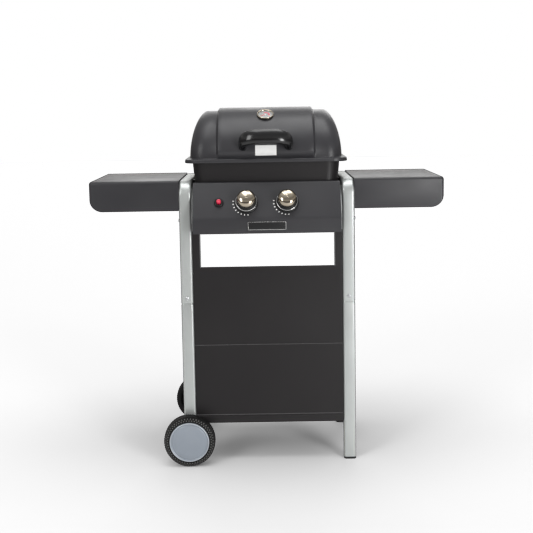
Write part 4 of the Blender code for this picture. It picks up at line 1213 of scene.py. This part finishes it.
def stage():
    """A pale floor that only catches shadows."""
    bm = bmesh.new()
    bmesh.ops.create_grid(bm, x_segments=8, y_segments=8, size=14)
    pale = Surface("pale_floor", (0.86, 0.86, 0.86), 0.75)
    pale.mottled((0.84, 0.84, 0.84), 0.6).rubbed(0.7, 0.82, 2.0)
    floor = linked("floor", mesh_of(bm))
    floor.data.materials.append(pale.material)
    floor.location.z = -0.0002
    floor.is_shadow_catcher = True


def area_light(name, position, target, size, power):
    data = bpy.data.lights.new(name, "AREA")
    data.shape = "RECTANGLE"
    data.size, data.size_y = size
    data.energy = power
    obj = linked(name, data)
    obj.location = position
    obj.rotation_euler = (Vector(target) - Vector(position)).to_track_quat("-Z", "Y").to_euler()


def light():
    """A white world to the camera, a graded room in reflections, and four soft boxes."""
    world = bpy.data.worlds.new("studio")
    bpy.context.scene.world = world
    world.use_nodes = True
    tree = world.node_tree
    seen = tree.nodes["Background"]
    plug(seen.inputs["Color"], (1, 1, 1, 1))
    plug(seen.inputs["Strength"], 1.0)
    direction = add_node(tree, "TexCoord").outputs["Generated"]
    split = add_node(tree, "SeparateXYZ", i0=direction)
    height = add_node(tree, "MapRange", i0=split.outputs[2], i1=-1).outputs[0]
    ramp = add_node(tree, "ValToRGB", i0=height)
    stops = (
        (0.3, (0.7, 0.69, 0.67)), (0.47, (0.13, 0.11, 0.1)), (0.58, (0.2, 0.18, 0.17)),
        (0.66, (0.75, 0.74, 0.72)), (0.8, (0.4, 0.39, 0.38)), (0.93, (1, 1, 1)),
    )
    elements = ramp.color_ramp.elements
    while len(elements) < len(stops):
        elements.new(0.5)
    for element, (place, colour) in zip(elements, stops):
        element.position = place
        element.color = (*colour, 1)
    room = add_node(tree, "Background", Color=ramp.outputs[0], Strength=0.8).outputs[0]
    to_camera = add_node(tree, "LightPath").outputs["Is Camera Ray"]
    chosen = add_node(tree, "MixShader", i0=to_camera, i1=room, i2=seen.outputs[0])
    plug(tree.nodes["World Output"].inputs["Surface"], chosen.outputs[0])
    middle = (0, 0, 0.6)
    area_light("overhead", (0.1, -0.2, 3.2), middle, (2.2, 1.8), 42)
    area_light("front_left", (-2.4, -2.8, 2.3), middle, (1.3, 1.7), 40)
    area_light("front_right", (1.9, -2.9, 0.95), (0.3, 0, 0.8), (0.9, 1.3), 64)
    area_light("behind", (0.1, 3.0, 2.2), middle, (2.8, 1.4), 24)
    bpy.context.scene.view_settings.view_transform = "Standard"


def camera():
    data = bpy.data.cameras.new("camera")
    data.sensor_width = 36
    data.lens = 61.0
    data.shift_y = -0.14
    obj = linked("camera", data)
    down, roll = 5.69, -0.925
    obj.matrix_world = shift(0.0, -2.78, 1.07) @ turned(90 - down, "X") @ turned(roll)
    bpy.context.scene.camera = obj


camera()
for side, label in SIDES:
    side_frame(label)
    side_shelf(label, side)
    control(label)
    grate(label, side)
    burner(label, side)
    for end in ("front", "rear"):
        lower_leg(label + "_" + end)
for end in ("front", "rear"):
    foot("right_" + end)
    wheel(end)
panels()
console()
igniter()
firebox()
rack()
lid()
thermometer()
handle()
label_plate()
lid_hinges()
dress_kept_nodes()
stage()
light()
